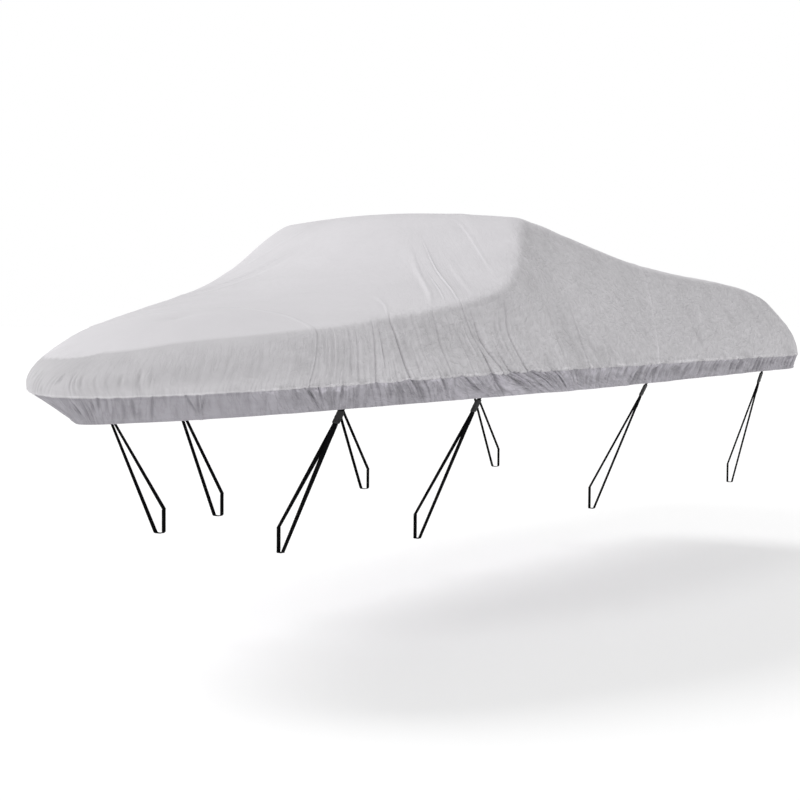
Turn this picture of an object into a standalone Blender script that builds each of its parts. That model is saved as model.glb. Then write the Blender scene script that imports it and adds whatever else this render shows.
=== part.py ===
"""Trailerable boat cover: a hollow cloth shell in sewn panels, with webbing straps that hook round a rail.

+X runs aft, +Y to starboard and +Z up. The origin is the underside of the cloth at the windshield's
top, where the boat inside holds the cover up. Lengths are in metres.
"""

from collections import namedtuple
from math import acos, atan2, cos, pi, sin

import bmesh
import bpy
import numpy as np

# --- Driving dimensions -----------------------------------------------------------------------------

CLOTH = 0.002  # thickness of the cloth
GAP = 0.0003  # clearance between pieces that are sewn or hooked together
ROUNDING = 0.10  # how much of a band, either side of the shoulder, the cloth bends over
SHARP_ANGLE = 0.7  # radians: edges that bend more than this are drawn sharp

# The cover is drawn with its bow at X = 0 and its gunwale at Z = 0, then moved to its origin.
TOP_GIRTH = 2.72  # where the spine is highest, measured along the gunwale

# The deck between shoulder and spine is a cubic curve with two handles.
SHOULDER_HANDLE = 0.30  # how far in the first handle reaches, as a share of the way to the spine
SHOULDER_LIFT = 0.22  # how much it rises besides, as a share of the spine's height over the shoulder
SPINE_HANDLE = 0.40  # how far out the second handle reaches, level with the spine

WEB_WIDTH = 0.025
WEB_THICK = 0.0018
TAB_THICK = 0.0034  # two layers of webbing
TAB_LAP = 0.25  # how far up the skirt a tab is sewn, as a share of the skirt
TAB_CLEAR = 0.0024  # from the skirt's inner face to the tab
TAB_DROP = 0.010  # from the hem down to the buckle
BUCKLE_THICK = 0.011
BUCKLE_LENGTH = 0.062

RAIL_TOP = -0.63  # of the trailer's rail, below the gunwale
RAIL_SIZE = (0.034, 0.110)  # width and height of the rail that the straps go round
RAIL_CORNER = 0.006
WRAP_SKEW = 0.020  # how far aft a strap drifts on its way round the rail

# Each cross-section is a crease where the skirt is sewn on, a hem below it, a shoulder above it and a
# point on the spine. Points are (aft of the bow, out from the centreline, above the gunwale).
# Bulge is how far the side swells between the crease and the shoulder.
Section = namedtuple("Section", "crease hem shoulder spine bulge")
SECTIONS = [
    Section((0.075, 0.000, -0.062), (0.185, 0.000, -0.180), (0.250, 0.000, 0.084), (0.740, 0, 0.225), 0.055),
    Section((0.125, 0.205, -0.060), (0.240, 0.105, -0.176), (0.280, 0.135, 0.095), (0.760, 0, 0.228), 0.062),
    Section((0.290, 0.430, -0.050), (0.420, 0.330, -0.163), (0.397, 0.305, 0.128), (0.800, 0, 0.238), 0.053),
    Section((0.600, 0.670, -0.034), (0.690, 0.585, -0.144), (0.670, 0.540, 0.166), (0.920, 0, 0.260), 0.030),
    Section((0.950, 0.825, -0.020), (0.980, 0.750, -0.129), (0.990, 0.706, 0.212), (1.150, 0, 0.280), 0.020),
    Section((1.350, 0.935, -0.008), (1.360, 0.875, -0.118), (1.370, 0.833, 0.274), (1.400, 0, 0.320), 0.015),
    Section((1.650, 0.985, -0.003), (1.660, 0.930, -0.113), (1.651, 0.898, 0.323), (1.620, 0, 0.390), 0.015),
    Section((1.900, 1.015, 0.000), (1.900, 0.965, -0.111), (1.876, 0.903, 0.383), (1.800, 0, 0.485), 0.015),
    Section((2.080, 1.030, 0.000), (2.080, 0.980, -0.110), (2.050, 0.849, 0.483), (1.980, 0, 0.610), 0.020),
    Section((2.230, 1.040, 0.000), (2.230, 0.990, -0.110), (2.205, 0.768, 0.628), (2.140, 0, 0.705), 0.020),
    Section((2.320, 1.042, 0.000), (2.320, 0.992, -0.109), (2.290, 0.736, 0.683), (2.230, 0, 0.725), 0.020),
    Section((2.430, 1.045, 0.000), (2.430, 0.995, -0.109), (2.420, 0.736, 0.670), (2.370, 0, 0.720), 0.020),
    Section((2.640, 1.050, 0.000), (2.640, 1.000, -0.108), (2.723, 0.759, 0.607), (2.660, 0, 0.665), 0.020),
    Section((3.100, 1.050, 0.000), (3.100, 1.000, -0.105), (3.280, 0.786, 0.501), (3.220, 0, 0.570), 0.020),
    Section((3.600, 1.050, -0.001), (3.600, 1.000, -0.101), (3.800, 0.811, 0.441), (3.740, 0, 0.500), 0.025),
    Section((4.150, 1.040, -0.003), (4.150, 1.000, -0.097), (4.280, 0.830, 0.404), (4.150, 0, 0.455), 0.035),
    Section((4.600, 1.035, -0.005), (4.600, 1.000, -0.094), (4.650, 0.830, 0.362), (4.400, 0, 0.425), 0.045),
    Section((4.900, 1.020, -0.006), (4.890, 0.995, -0.093), (4.870, 0.810, 0.318), (4.540, 0, 0.408), 0.035),
    Section((5.050, 0.945, -0.007), (5.040, 0.930, -0.092), (4.957, 0.730, 0.298), (4.610, 0, 0.398), 0.064),
    Section((5.100, 0.740, -0.007), (5.090, 0.730, -0.092), (5.000, 0.560, 0.296), (4.670, 0, 0.389), 0.055),
    Section((5.120, 0.360, -0.007), (5.110, 0.355, -0.092), (5.020, 0.280, 0.294), (4.710, 0, 0.382), 0.050),
    Section((5.125, 0.000, -0.007), (5.115, 0.000, -0.092), (5.025, 0.000, 0.294), (4.730, 0, 0.378), 0.050),
]

# Girth is measured along the gunwale from the stem. The seams are named by their girth there, and each
# leans aft by the time it reaches the shoulder.
BOW_SEAM = 0.975
STERN_SEAM = 3.384
BOW_SKIRT_SEAM = 0.545
Lean = namedtuple("Lean", "girth shift")
LEANS = [Lean(0.0, 0.0), Lean(BOW_SEAM, 0.11), Lean(STERN_SEAM, 0.12), Lean(4.6, 0.0), Lean(9.9, 0.0)]

# Columns of the grid: each span ends at a girth and is cut into equal steps, finer where it folds.
Span = namedtuple("Span", "end steps")
SPANS = [
    Span(BOW_SKIRT_SEAM, 7),
    Span(BOW_SEAM, 5),
    Span(1.30, 4),
    Span(2.90, 36),
    Span(STERN_SEAM, 6),
    Span(4.85, 15),
    Span(5.60, 9),
    Span(None, 7),
]

# Rows of the grid: 0 is the hem, 1 the crease, 2 the shoulder and 3 the spine.
HEM, CREASE, SHOULDER, SPINE = 0.0, 1.0, 2.0, 3.0
SKIRT_ROWS = [HEM, 0.5, CREASE]
UPPER_ROWS = [CREASE, 1.22, 1.44, 1.66, 1.86, SHOULDER, 2.10, 2.22, 2.36, 2.52, 2.68, 2.84, SPINE]

# The main folds. A fold runs through three (girth, row) places, has a width either side of its line
# and stands out of the cloth by its height, or goes in where that is negative.
Fold = namedtuple("Fold", "side start middle end width height")
PORT, STARBOARD = -1, 1
FOLDS = [
    Fold(PORT, (1.56, 0.14), (1.45, 1.07), (1.47, 2.00), 0.032, -0.011),
    Fold(PORT, (1.30, 0.30), (1.31, 1.07), (1.35, 1.93), 0.030, -0.008),
    Fold(PORT, (1.94, 0.17), (1.74, 1.03), (1.70, 1.50), 0.030, -0.009),
    Fold(PORT, (2.06, 0.24), (1.95, 1.03), (1.86, 2.00), 0.032, -0.012),
    Fold(PORT, (2.17, 0.20), (2.00, 1.05), (1.91, 1.80), 0.030, 0.009),
    Fold(PORT, (2.28, 0.14), (2.06, 1.10), (1.95, 1.50), 0.034, -0.013),
    Fold(PORT, (2.44, 0.14), (2.27, 0.75), (2.14, 1.27), 0.032, -0.010),
    Fold(PORT, (1.73, 2.07), (2.17, 2.50), (2.39, 2.75), 0.045, 0.009),
    Fold(PORT, (1.90, 2.08), (2.26, 2.49), (2.45, 2.70), 0.040, 0.007),
    Fold(PORT, (2.45, 2.25), (2.67, 2.50), (2.80, 2.73), 0.045, 0.006),
    Fold(PORT, (0.97, 0.20), (1.00, 1.20), (1.05, 1.90), 0.035, -0.005),
    Fold(PORT, (3.36, 0.10), (3.42, 1.00), (3.60, 1.90), 0.045, -0.006),
    Fold(STARBOARD, (1.50, 0.20), (1.42, 1.10), (1.40, 1.90), 0.032, -0.009),
    Fold(STARBOARD, (2.10, 0.25), (1.92, 1.00), (1.78, 2.00), 0.034, -0.012),
    Fold(STARBOARD, (2.22, 0.20), (2.02, 1.10), (1.86, 1.70), 0.030, 0.008),
    Fold(STARBOARD, (2.38, 0.20), (2.20, 1.05), (2.05, 1.60), 0.036, -0.012),
    Fold(STARBOARD, (2.70, 0.15), (2.55, 0.80), (2.48, 1.30), 0.036, -0.009),
    Fold(STARBOARD, (1.80, 2.10), (2.10, 2.45), (2.36, 2.80), 0.045, 0.008),
    Fold(STARBOARD, (3.40, 0.10), (3.44, 1.05), (3.62, 1.90), 0.045, -0.006),
    Fold(STARBOARD, (4.20, 0.20), (4.30, 1.10), (4.38, 1.70), 0.045, -0.006),
]

# Outline of a buckle's body: half its width at each height over its middle. It is drawn in at the waist,
# where two fingers squeeze it open.
Outline = namedtuple("Outline", "height half_width")
BUCKLE_OUTLINE = [
    Outline(0.031, 0.0150),
    Outline(0.027, 0.0180),
    Outline(0.010, 0.0180),
    Outline(0.005, 0.0150),
    Outline(-0.006, 0.0150),
    Outline(-0.011, 0.0175),
    Outline(-0.027, 0.0180),
    Outline(-0.031, 0.0150),
]

# Each strap: the girth of its tab on the hem, and how far aft and out the rail is where it holds it.
Strap = namedtuple("Strap", "name side girth rail_aft rail_out")
STRAPS = [
    Strap("port_1", PORT, 1.185, 0.93, 0.382),
    Strap("port_2", PORT, 1.942, 1.60, 0.607),
    Strap("port_3", PORT, 3.368, 2.97, 0.725),
    Strap("port_4", PORT, 4.794, 4.50, 0.788),
    Strap("starboard_1", STARBOARD, 1.300, 1.06, 0.430),
    Strap("starboard_2", STARBOARD, 1.980, 1.66, 0.615),
    Strap("starboard_3", STARBOARD, 3.350, 3.00, 0.725),
    Strap("starboard_4", STARBOARD, 4.770, 4.47, 0.788),
]

# --- The cloth as a surface -------------------------------------------------------------------------


def control_rows():
    """The sections as rows of twelve numbers, with two more at each end mirrored across the centreline."""
    rows = np.array([[*s.crease, *s.hem, *s.shoulder, s.spine[0], s.spine[2], s.bulge] for s in SECTIONS])
    across = np.array([1, -1, 1, 1, -1, 1, 1, -1, 1, 1, 1, 1])
    return np.concatenate([rows[2:0:-1] * across, rows, rows[-2:-4:-1] * across])


CONTROLS = control_rows()
STEPS = np.linalg.norm(np.diff(CONTROLS[:, :3], axis=0), axis=1)
KNOTS = np.concatenate([[0], np.cumsum(STEPS)]) - STEPS[:2].sum()
GIRTH_END = KNOTS[-3]


def controls_at(girth):
    """The control rows joined by one smooth cubic curve, read at each girth."""
    steps = np.diff(KNOTS)[:, None]
    slopes = np.diff(CONTROLS, axis=0) / steps
    between = (slopes[:-1] * steps[1:] + slopes[1:] * steps[:-1]) / (steps[:-1] + steps[1:])
    tangents = np.concatenate([slopes[:1], between, slopes[-1:]])
    i = np.clip(np.searchsorted(KNOTS, girth, side="right") - 1, 0, len(KNOTS) - 2)
    length = steps[i]
    t = ((girth - KNOTS[i]) / length[:, 0])[:, None]
    return (
        (2 * t**3 - 3 * t**2 + 1) * CONTROLS[i]
        + (t**3 - 2 * t**2 + t) * length * tangents[i]
        + (3 * t**2 - 2 * t**3) * CONTROLS[i + 1]
        + (t**3 - t**2) * length * tangents[i + 1]
    )


def sharp_profile(controls, row):
    """A point of each section: straight up the skirt, a bowed side, then a cubic curve in to the spine."""
    crease, hem, shoulder = controls[:, :3], controls[:, 3:6], controls[:, 6:9]
    spine = np.stack([controls[:, 9], np.zeros(len(controls)), controls[:, 10]], axis=1)
    level = np.array([1, 1, 0])
    outward = (crease - spine) * level
    outward /= np.linalg.norm(outward, axis=1)[:, None]
    up_skirt, up_side, inwards = (np.clip(row - a, 0, 1)[:, None] for a in (HEM, CREASE, SHOULDER))
    skirt = hem * (1 - up_skirt) + crease * up_skirt
    side = crease * (1 - up_side) + shoulder * up_side
    side += outward * controls[:, 11:12] * 4 * up_side * (1 - up_side)
    lift = np.array([0, 0, SHOULDER_LIFT]) * (spine - shoulder)[:, 2:]
    first = shoulder + SHOULDER_HANDLE * (spine - shoulder) + lift
    second = spine + SPINE_HANDLE * (shoulder - spine) * level
    rest = 1 - inwards
    deck = rest**3 * shoulder + 3 * inwards * rest**2 * first
    deck += 3 * inwards**2 * rest * second + inwards**3 * spine
    return np.where(row[:, None] <= CREASE, skirt, np.where(row[:, None] <= SHOULDER, side, deck))


def smooth_cloth(girth, row):
    """The cloth without its folds. Above the crease each place is a mean of its neighbours in the section."""
    shape = np.broadcast(girth, row).shape
    girth, row = (np.broadcast_to(a, shape).ravel().astype(float) for a in (girth, row))
    controls = controls_at(girth)
    reach = ROUNDING * np.clip((row - CREASE) / 0.4, 0, 1)
    total = np.zeros((len(row), 3))
    for offset, weight in ((-1, 1), (-0.5, 2), (0, 2), (0.5, 2), (1, 1)):
        at = row + offset * reach
        beyond = at > SPINE
        point = sharp_profile(controls, np.where(beyond, 2 * SPINE - at, at))
        point[beyond, 1] *= -1
        total += weight * point
    return (total / 8).reshape(shape + (3,))


def fold_height(girth, row, side):
    """Height of the folds: each is a bell across its line, fading out over its last quarters."""
    height = np.zeros(np.broadcast(girth, row).shape)
    for fold in FOLDS:
        line = np.array([fold.start, fold.middle, fold.end])
        if line[0, 1] > line[-1, 1]:
            line = line[::-1]
        across = girth - np.interp(row, line[:, 1], line[:, 0])
        along = np.clip((row - line[0, 1]) / (line[-1, 1] - line[0, 1]), 0, 1)
        fade = np.clip(4 * along, 0, 1) * np.clip(4 * (1 - along), 0, 1)
        height += (side == fold.side) * fold.height * fade * np.exp(-((across / fold.width) ** 2))
    return height


def cloth(girth, row, side):
    """Outer face of the cloth on one side, with its folds."""
    girth, row = np.broadcast_arrays(girth, row)
    step = 1e-4
    point = smooth_cloth(girth, row)
    aft = smooth_cloth(girth + step, row) - point
    up = smooth_cloth(girth, np.minimum(row + step, SPINE)) - smooth_cloth(girth, row - step)
    outward = np.cross(up, aft)
    outward /= np.linalg.norm(outward, axis=-1)[..., None]
    point = point + outward * fold_height(girth, row, side)[..., None]
    return point * np.array([1, side, 1])


def leaning(girth, row):
    """Girth of a grid column at each row, so that the columns follow the lean of the seams."""
    shift = np.interp(girth, [lean.girth for lean in LEANS], [lean.shift for lean in LEANS])
    return girth + shift * np.clip(row - CREASE, 0, 1.4)


ORIGIN = smooth_cloth(np.array(TOP_GIRTH), np.array(SPINE)) - np.array([0, 0, CLOTH])

# --- Cloth panels -----------------------------------------------------------------------------------


def column_girths():
    """Girth of every column from the stem to the middle of the transom."""
    girths = [0.0]
    for span in SPANS:
        end = GIRTH_END if span.end is None else span.end
        girths.extend(np.linspace(girths[-1], end, span.steps + 1)[1:])
    return np.array(girths)


GIRTHS = column_girths()


def column_of(girth):
    return int(np.argmin(np.abs(GIRTHS - girth)))


def whole_cloth():
    """Points and outward normals of the whole cover, [column, row], from transom round the bow and back."""
    girth, row = np.meshgrid(GIRTHS, [*SKIRT_ROWS, *UPPER_ROWS[1:]], indexing="ij")
    halves = [cloth(leaning(girth, row), row, side) for side in (STARBOARD, PORT)]
    points = np.concatenate([halves[0][:0:-1], halves[1]])
    wrapped = np.concatenate([points[-2:-1], points, points[1:2]])
    along = np.gradient(wrapped[:, :-1], axis=0)[1:-1]
    facing = np.cross(along, np.gradient(points, axis=1)[:, :-1])
    facing /= np.linalg.norm(facing, axis=-1)[..., None]
    spine = facing[:, -1] + facing[::-1, -1] * np.array([1, -1, 1])
    spine /= np.linalg.norm(spine, axis=-1)[..., None]
    return points, np.concatenate([facing, spine[:, None]], axis=1)


CLOTH_POINTS, CLOTH_FACING = whole_cloth()
CREASE_ROW = len(SKIRT_ROWS) - 1
STEM_COLUMN = len(GIRTHS) - 1


def draw_back(points, axis, first, last):
    """Moves the first and last line of a grid a little towards the next one, to leave half the seam's gap."""
    points = np.moveaxis(points, axis, 0).copy()
    for edge, inner, wanted in ((0, 1, first), (-1, -2, last)):
        if wanted:
            step = points[inner] - points[edge]
            points[edge] += step * (GAP / 2 / np.linalg.norm(step, axis=-1))[..., None]
    return np.moveaxis(points, 0, axis)


def grid_faces(ids):
    """Two triangles for each cell of a grid of vertex ids, leaving out any that lost a corner to a merge."""
    a, b = ids[:-1, :-1], ids[1:, :-1]
    c, d = ids[1:, 1:], ids[:-1, 1:]
    faces = np.concatenate([np.stack([a, b, c], -1).reshape(-1, 3), np.stack([a, c, d], -1).reshape(-1, 3)])
    whole = (faces[:, 0] != faces[:, 1]) & (faces[:, 1] != faces[:, 2]) & (faces[:, 2] != faces[:, 0])
    return faces[whole]


WALL_ORDER = np.array([0.7, 0.4, 1.3])  # a slanted direction, along which no seam runs level


def thick_mesh(name, outer, inner, faces):
    """A closed shell between two copies of a sheet, walled along the sheet's free edges.

    Each wall's diagonal runs from the outer face at its later end to the inner face at its earlier end,
    whichever way its edge turns, so that two panels that meet along a seam have the same walls.
    """
    count = len(outer)
    edges = np.concatenate([faces[:, [0, 1]], faces[:, [1, 2]], faces[:, [2, 0]]])
    seen = {(a, b) for a, b in edges.tolist()}
    rim = [(a, b) for a, b in edges.tolist() if (b, a) not in seen]
    order = outer @ WALL_ORDER
    walls = []
    for a, b in rim:
        if order[a] < order[b]:
            walls += [(b, a, a + count), (b, a + count, b + count)]
        else:
            walls += [(b, a, b + count), (a, a + count, b + count)]
    mesh = bpy.data.meshes.new(name)
    everything = np.concatenate([faces, faces[:, ::-1] + count, walls])
    mesh.from_pydata(np.concatenate([outer, inner]).tolist(), [], everything.tolist())
    return mesh


def add_object(name, mesh, material):
    mesh.validate()
    mesh.update()
    mesh.materials.append(material)
    mesh.shade_smooth()
    mesh.set_sharp_from_angle(angle=SHARP_ANGLE)
    obj = bpy.data.objects.new(name, mesh)
    bpy.context.scene.collection.objects.link(obj)
    obj.parent = HULL_FRAME
    return obj


def upper_panel(name, start, end, material):
    """A panel of the upper cloth between two girths, from gunwale to gunwale over the spine."""
    points, facing = CLOTH_POINTS[:, CREASE_ROW:], CLOTH_FACING[:, CREASE_ROW:]
    middle = STEM_COLUMN
    first, last = column_of(start), column_of(end)
    reaches_stem, reaches_transom = first == 0, last == len(GIRTHS) - 1
    if reaches_stem:
        spans = [(middle - last, middle + last, True, True)]
    else:
        spans = [
            (middle - last, middle - first, not reaches_transom, True),
            (middle + first, middle + last, True, not reaches_transom),
        ]
    sheets, backs, ids, used = [], [], [], 0
    for low, high, free_low, free_high in spans:
        skin = points[low : high + 1]
        back = skin - CLOTH * facing[low : high + 1]
        skin, back = (draw_back(draw_back(p, 0, free_low, free_high), 1, True, False) for p in (skin, back))
        sheets.append(skin.reshape(-1, 3))
        backs.append(back.reshape(-1, 3))
        ids.append(used + np.arange(skin.shape[0] * skin.shape[1]).reshape(skin.shape[:2]))
        used += skin.shape[0] * skin.shape[1]
    if reaches_stem:
        across = ids[0].shape[0] // 2
        ids[0][:across, -1] = ids[0][:across:-1, -1]
    else:
        ids[0][:, -1] = ids[1][::-1, -1]
        if reaches_transom:
            ids[0][0] = ids[1][-1]
    faces = np.concatenate([grid_faces(each) for each in ids])
    kept, faces = np.unique(faces, return_inverse=True)
    faces = faces.reshape(-1, 3)
    mesh = thick_mesh(name, np.concatenate(sheets)[kept], np.concatenate(backs)[kept], faces)
    return add_object(name, mesh, material)


def skirt_panel(name, side, start, end, material):
    """A length of the skirt. Side 0 is the piece round the bow or the transom, on both sides at once."""
    points, facing = CLOTH_POINTS[:, : CREASE_ROW + 1], CLOTH_FACING[:, : CREASE_ROW + 1]
    middle = STEM_COLUMN
    first, last = column_of(start), column_of(end)
    if side == 0 and first == 0:
        take = np.arange(middle - last, middle + last + 1)
    elif side == 0:
        take = np.concatenate([np.arange(middle + first, middle + last), np.arange(0, middle - first + 1)])
    elif side == PORT:
        take = np.arange(middle + first, middle + last + 1)
    else:
        take = np.arange(middle - last, middle - first + 1)
    skin = points[take]
    back = skin - CLOTH * facing[take]
    skin, back = (draw_back(draw_back(p, 0, True, True), 1, False, True) for p in (skin, back))
    ids = np.arange(skin.shape[0] * skin.shape[1]).reshape(skin.shape[:2])
    mesh = thick_mesh(name, skin.reshape(-1, 3), back.reshape(-1, 3), grid_faces(ids))
    return add_object(name, mesh, material)


# --- Straps -----------------------------------------------------------------------------------------


def belt_mesh(name, centres, widths, faces_out, thick):
    """A flat belt: a rectangle carried through frames of a centre, a width and an outward direction."""
    mesh_points = []
    for centre, width, out in zip(centres, widths, faces_out):
        half_width = width * WEB_WIDTH / 2
        half_thick = out * thick / 2
        mesh_points += [
            centre + half_width + half_thick,
            centre - half_width + half_thick,
            centre - half_width - half_thick,
            centre + half_width - half_thick,
        ]
    last = 4 * (len(centres) - 1)
    faces = [(0, 1, 2, 3), (last + 3, last + 2, last + 1, last)]
    for start in range(0, last, 4):
        faces += [(start + k, start + 4 + k, start + 4 + (k + 1) % 4, start + (k + 1) % 4) for k in range(4)]
    mesh = bpy.data.meshes.new(name)
    mesh.from_pydata(mesh_points, [], faces)
    shell = bmesh.new()
    shell.from_mesh(mesh)
    bmesh.ops.triangulate(shell, faces=shell.faces)
    bmesh.ops.recalc_face_normals(shell, faces=shell.faces)
    shell.to_mesh(mesh)
    shell.free()
    return mesh


def touching_angle(point, centre, radius, turn):
    """Angle on a circle where a straight run from the point meets it without a kink."""
    away = (centre[0] - point[0], centre[1] - point[1])
    reach = (away[0] ** 2 + away[1] ** 2) ** 0.5
    return atan2(away[1], away[0]) + turn * acos(-radius / reach)


def arc(centre, radius, start, end, steps=3):
    angles = np.linspace(start, end, steps + 1)
    return [(centre[0] + radius * cos(a), centre[1] + radius * sin(a), a) for a in angles]


def rail_wrap(strap, outer, inner):
    """Path round the rail, as (out, up, angle that faces away from the rail), from outer leg to inner leg."""
    width, height = RAIL_SIZE
    radius = RAIL_CORNER + WEB_THICK / 2
    low, high = RAIL_TOP - height + RAIL_CORNER, RAIL_TOP - RAIL_CORNER
    near = strap.rail_out - width / 2 + RAIL_CORNER
    far = strap.rail_out + width / 2 - RAIL_CORNER
    leave = touching_angle(outer, (far, low), radius, 1)
    arrive = touching_angle(inner, (near, high), radius, -1)
    while arrive > -pi:
        arrive -= 2 * pi
    return (
        arc((far, low), radius, leave, -pi / 2)
        + arc((near, low), radius, -pi / 2, -pi)
        + arc((near, high), radius, -pi, arrive, 2)
    )


def unit(vector):
    return vector / np.linalg.norm(vector)


def strap_frame(strap):
    """Direction down the strap, width direction and outward direction where the tab is sewn."""
    at, side = np.array(strap.girth), strap.side
    hem = cloth(at, np.array(HEM), side)
    along = unit(cloth(at + 0.01, np.array(HEM), side) - cloth(at - 0.01, np.array(HEM), side))
    rail = np.array([strap.rail_aft, side * strap.rail_out, RAIL_TOP - RAIL_SIZE[1] / 2])
    down = unit(rail - hem)
    width = unit(along - down * np.dot(along, down))
    out = np.cross(down, width)
    return down, width, out * (1 if out[1] * side > 0 else -1)


def make_tab(strap, down, width, out, material):
    """A folded tab of webbing, sewn inside the skirt and reaching to the buckle. Gives the buckle's top."""
    at, side = np.array(strap.girth), strap.side
    depth = CLOTH + TAB_CLEAR + TAB_THICK / 2
    centres, outs = [], []
    for row in (TAB_LAP, TAB_LAP / 2, HEM):
        foot = cloth(at, np.array(row), side)
        facing = unit(np.cross(cloth(at, np.array(row + 0.05), side) - foot, width))
        facing *= 1 if facing[1] * side > 0 else -1
        centres.append(foot - depth * facing)
        outs.append(facing)
    centres.append(centres[-1] + down * TAB_DROP)
    outs.append(out)
    name = f"tab_{strap.name}"
    add_object(name, belt_mesh(name, centres, [width] * len(centres), outs, TAB_THICK), material)
    return centres[-1] + down * GAP


def buckle_mesh():
    """A side-release buckle: its outline, carried through its thickness, with the webbing at both ends."""
    right = [(row.half_width, row.height) for row in BUCKLE_OUTLINE]
    left = [(-row.half_width, row.height) for row in reversed(BUCKLE_OUTLINE)]
    body = bmesh.new()
    corners = [body.verts.new((x, BUCKLE_THICK / 2, z)) for x, z in right + left]
    face = body.faces.new(corners)
    sides = bmesh.ops.extrude_face_region(body, geom=[face])["geom"]
    moved = [item for item in sides if isinstance(item, bmesh.types.BMVert)]
    bmesh.ops.translate(body, vec=(0, -BUCKLE_THICK, 0), verts=moved)
    bmesh.ops.recalc_face_normals(body, faces=body.faces)
    mesh = bpy.data.meshes.new("buckle")
    body.to_mesh(mesh)
    body.free()
    return mesh


def place_buckle(strap, mesh, top, down, width, out, material):
    """The buckle hangs with its top edge at a point, its length down the strap. Gives the strap's start."""
    turn = np.stack([width, out, -down], axis=1)
    if np.linalg.det(turn) < 0:
        turn[:, 0] *= -1
    centre = top + down * BUCKLE_LENGTH / 2
    placed = mesh.copy()
    points = np.array([turn @ np.array(v.co) + centre for v in placed.vertices])
    placed.vertices.foreach_set("co", points.ravel())
    add_object(f"buckle_{strap.name}", placed, material)
    return top + down * (BUCKLE_LENGTH + GAP)


def strap_leg(start, start_out, width, foot, foot_away):
    """Centres, widths and outward directions down one leg, turning from the buckle's frame to the rail's."""
    aft = np.array([1.0, 0.0, 0.0])
    centres, widths, outs = [start], [width], [start_out]
    for share in (0.25, 0.5, 0.75):
        centres.append(start * (1 - share) + foot * share)
        widths.append(unit(width * (1 - share) + aft * share))
        outs.append(unit(start_out * (1 - share) + foot_away * share))
    return centres, widths, outs


def make_strap(strap, end, width, out, material):
    """Webbing from the buckle outside the rail, under it, up behind it and back to the buckle."""
    width = width if width[0] > 0 else -width
    apart = out * (WEB_THICK + GAP) / 2
    outer, inner = end + apart, end - apart
    wrap = rail_wrap(strap, (abs(outer[1]), outer[2]), (abs(inner[1]), inner[2]))
    drift = np.linspace(-WRAP_SKEW / 2, WRAP_SKEW / 2, len(wrap))
    on_rail = [np.array([strap.rail_aft + d, strap.side * h, z]) for d, (h, z, _) in zip(drift, wrap)]
    away = [np.array([0.0, strap.side * cos(a), sin(a)]) for _, _, a in wrap]
    down_leg = strap_leg(outer, out, width, on_rail[0], away[0])
    up_leg = strap_leg(inner, -out, width, on_rail[-1], away[-1])
    centres = down_leg[0] + on_rail + up_leg[0][::-1]
    widths = down_leg[1] + [np.array([1.0, 0.0, 0.0])] * len(wrap) + up_leg[1][::-1]
    outs = down_leg[2] + away + up_leg[2][::-1]
    name = f"strap_{strap.name}"
    add_object(name, belt_mesh(name, centres, widths, outs, WEB_THICK), material)


# --- Materials and assembly -------------------------------------------------------------------------


def make_material(name, colour, roughness):
    material = bpy.data.materials.new(name)
    material.use_nodes = True
    shader = material.node_tree.nodes["Principled BSDF"]
    shader.inputs["Base Color"].default_value = (*colour, 1)
    shader.inputs["Roughness"].default_value = roughness
    shader.inputs["Metallic"].default_value = 0.0
    return material


for old in list(bpy.data.objects):
    bpy.data.objects.remove(old)

HULL_FRAME = bpy.data.objects.new("hull_frame", None)
HULL_FRAME.location = -ORIGIN
bpy.context.scene.collection.objects.link(HULL_FRAME)

upper_cloth = make_material("upper_cloth", (0.62, 0.60, 0.62), 0.72)
skirt_cloth = make_material("skirt_cloth", (0.50, 0.49, 0.51), 0.76)
webbing = make_material("webbing", (0.018, 0.018, 0.020), 0.80)
buckle_plastic = make_material("buckle_plastic", (0.015, 0.015, 0.017), 0.45)

upper_panel("cover_bow", 0.0, BOW_SEAM, upper_cloth)
upper_panel("cover_middle", BOW_SEAM, STERN_SEAM, upper_cloth)
upper_panel("cover_stern", STERN_SEAM, GIRTH_END, upper_cloth)
skirt_panel("skirt_bow", 0, 0.0, BOW_SKIRT_SEAM, skirt_cloth)
skirt_panel("skirt_port", PORT, BOW_SKIRT_SEAM, STERN_SEAM, skirt_cloth)
skirt_panel("skirt_starboard", STARBOARD, BOW_SKIRT_SEAM, STERN_SEAM, skirt_cloth)
skirt_panel("skirt_stern", 0, STERN_SEAM, GIRTH_END, skirt_cloth)

buckle_shape = buckle_mesh()
for strap in STRAPS:
    down, width, out = strap_frame(strap)
    buckle_top = make_tab(strap, down, width, out, webbing)
    strap_end = place_buckle(strap, buckle_shape, buckle_top, down, width, out, buckle_plastic)
    make_strap(strap, strap_end, width, out, webbing)
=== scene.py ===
# %% [markdown]
# # Dressing a fitted boat cover
#
# The real cover is a hollow shell of polyester cloth. Three panels lie over the bow, the windshield and
# the cockpit, a skirt painted darker, as painted shade, is sewn on below the gunwale, and webbing straps
# buckle round the trailer's rails. The imported model holds every piece at its real size, with the large
# folds. This lesson puts the fine surface on it, one piece at a time, and leaves the sizes alone.

# %% Load the imported model
from collections import namedtuple
from math import acos, atan2, cos, pi, radians, sin

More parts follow.
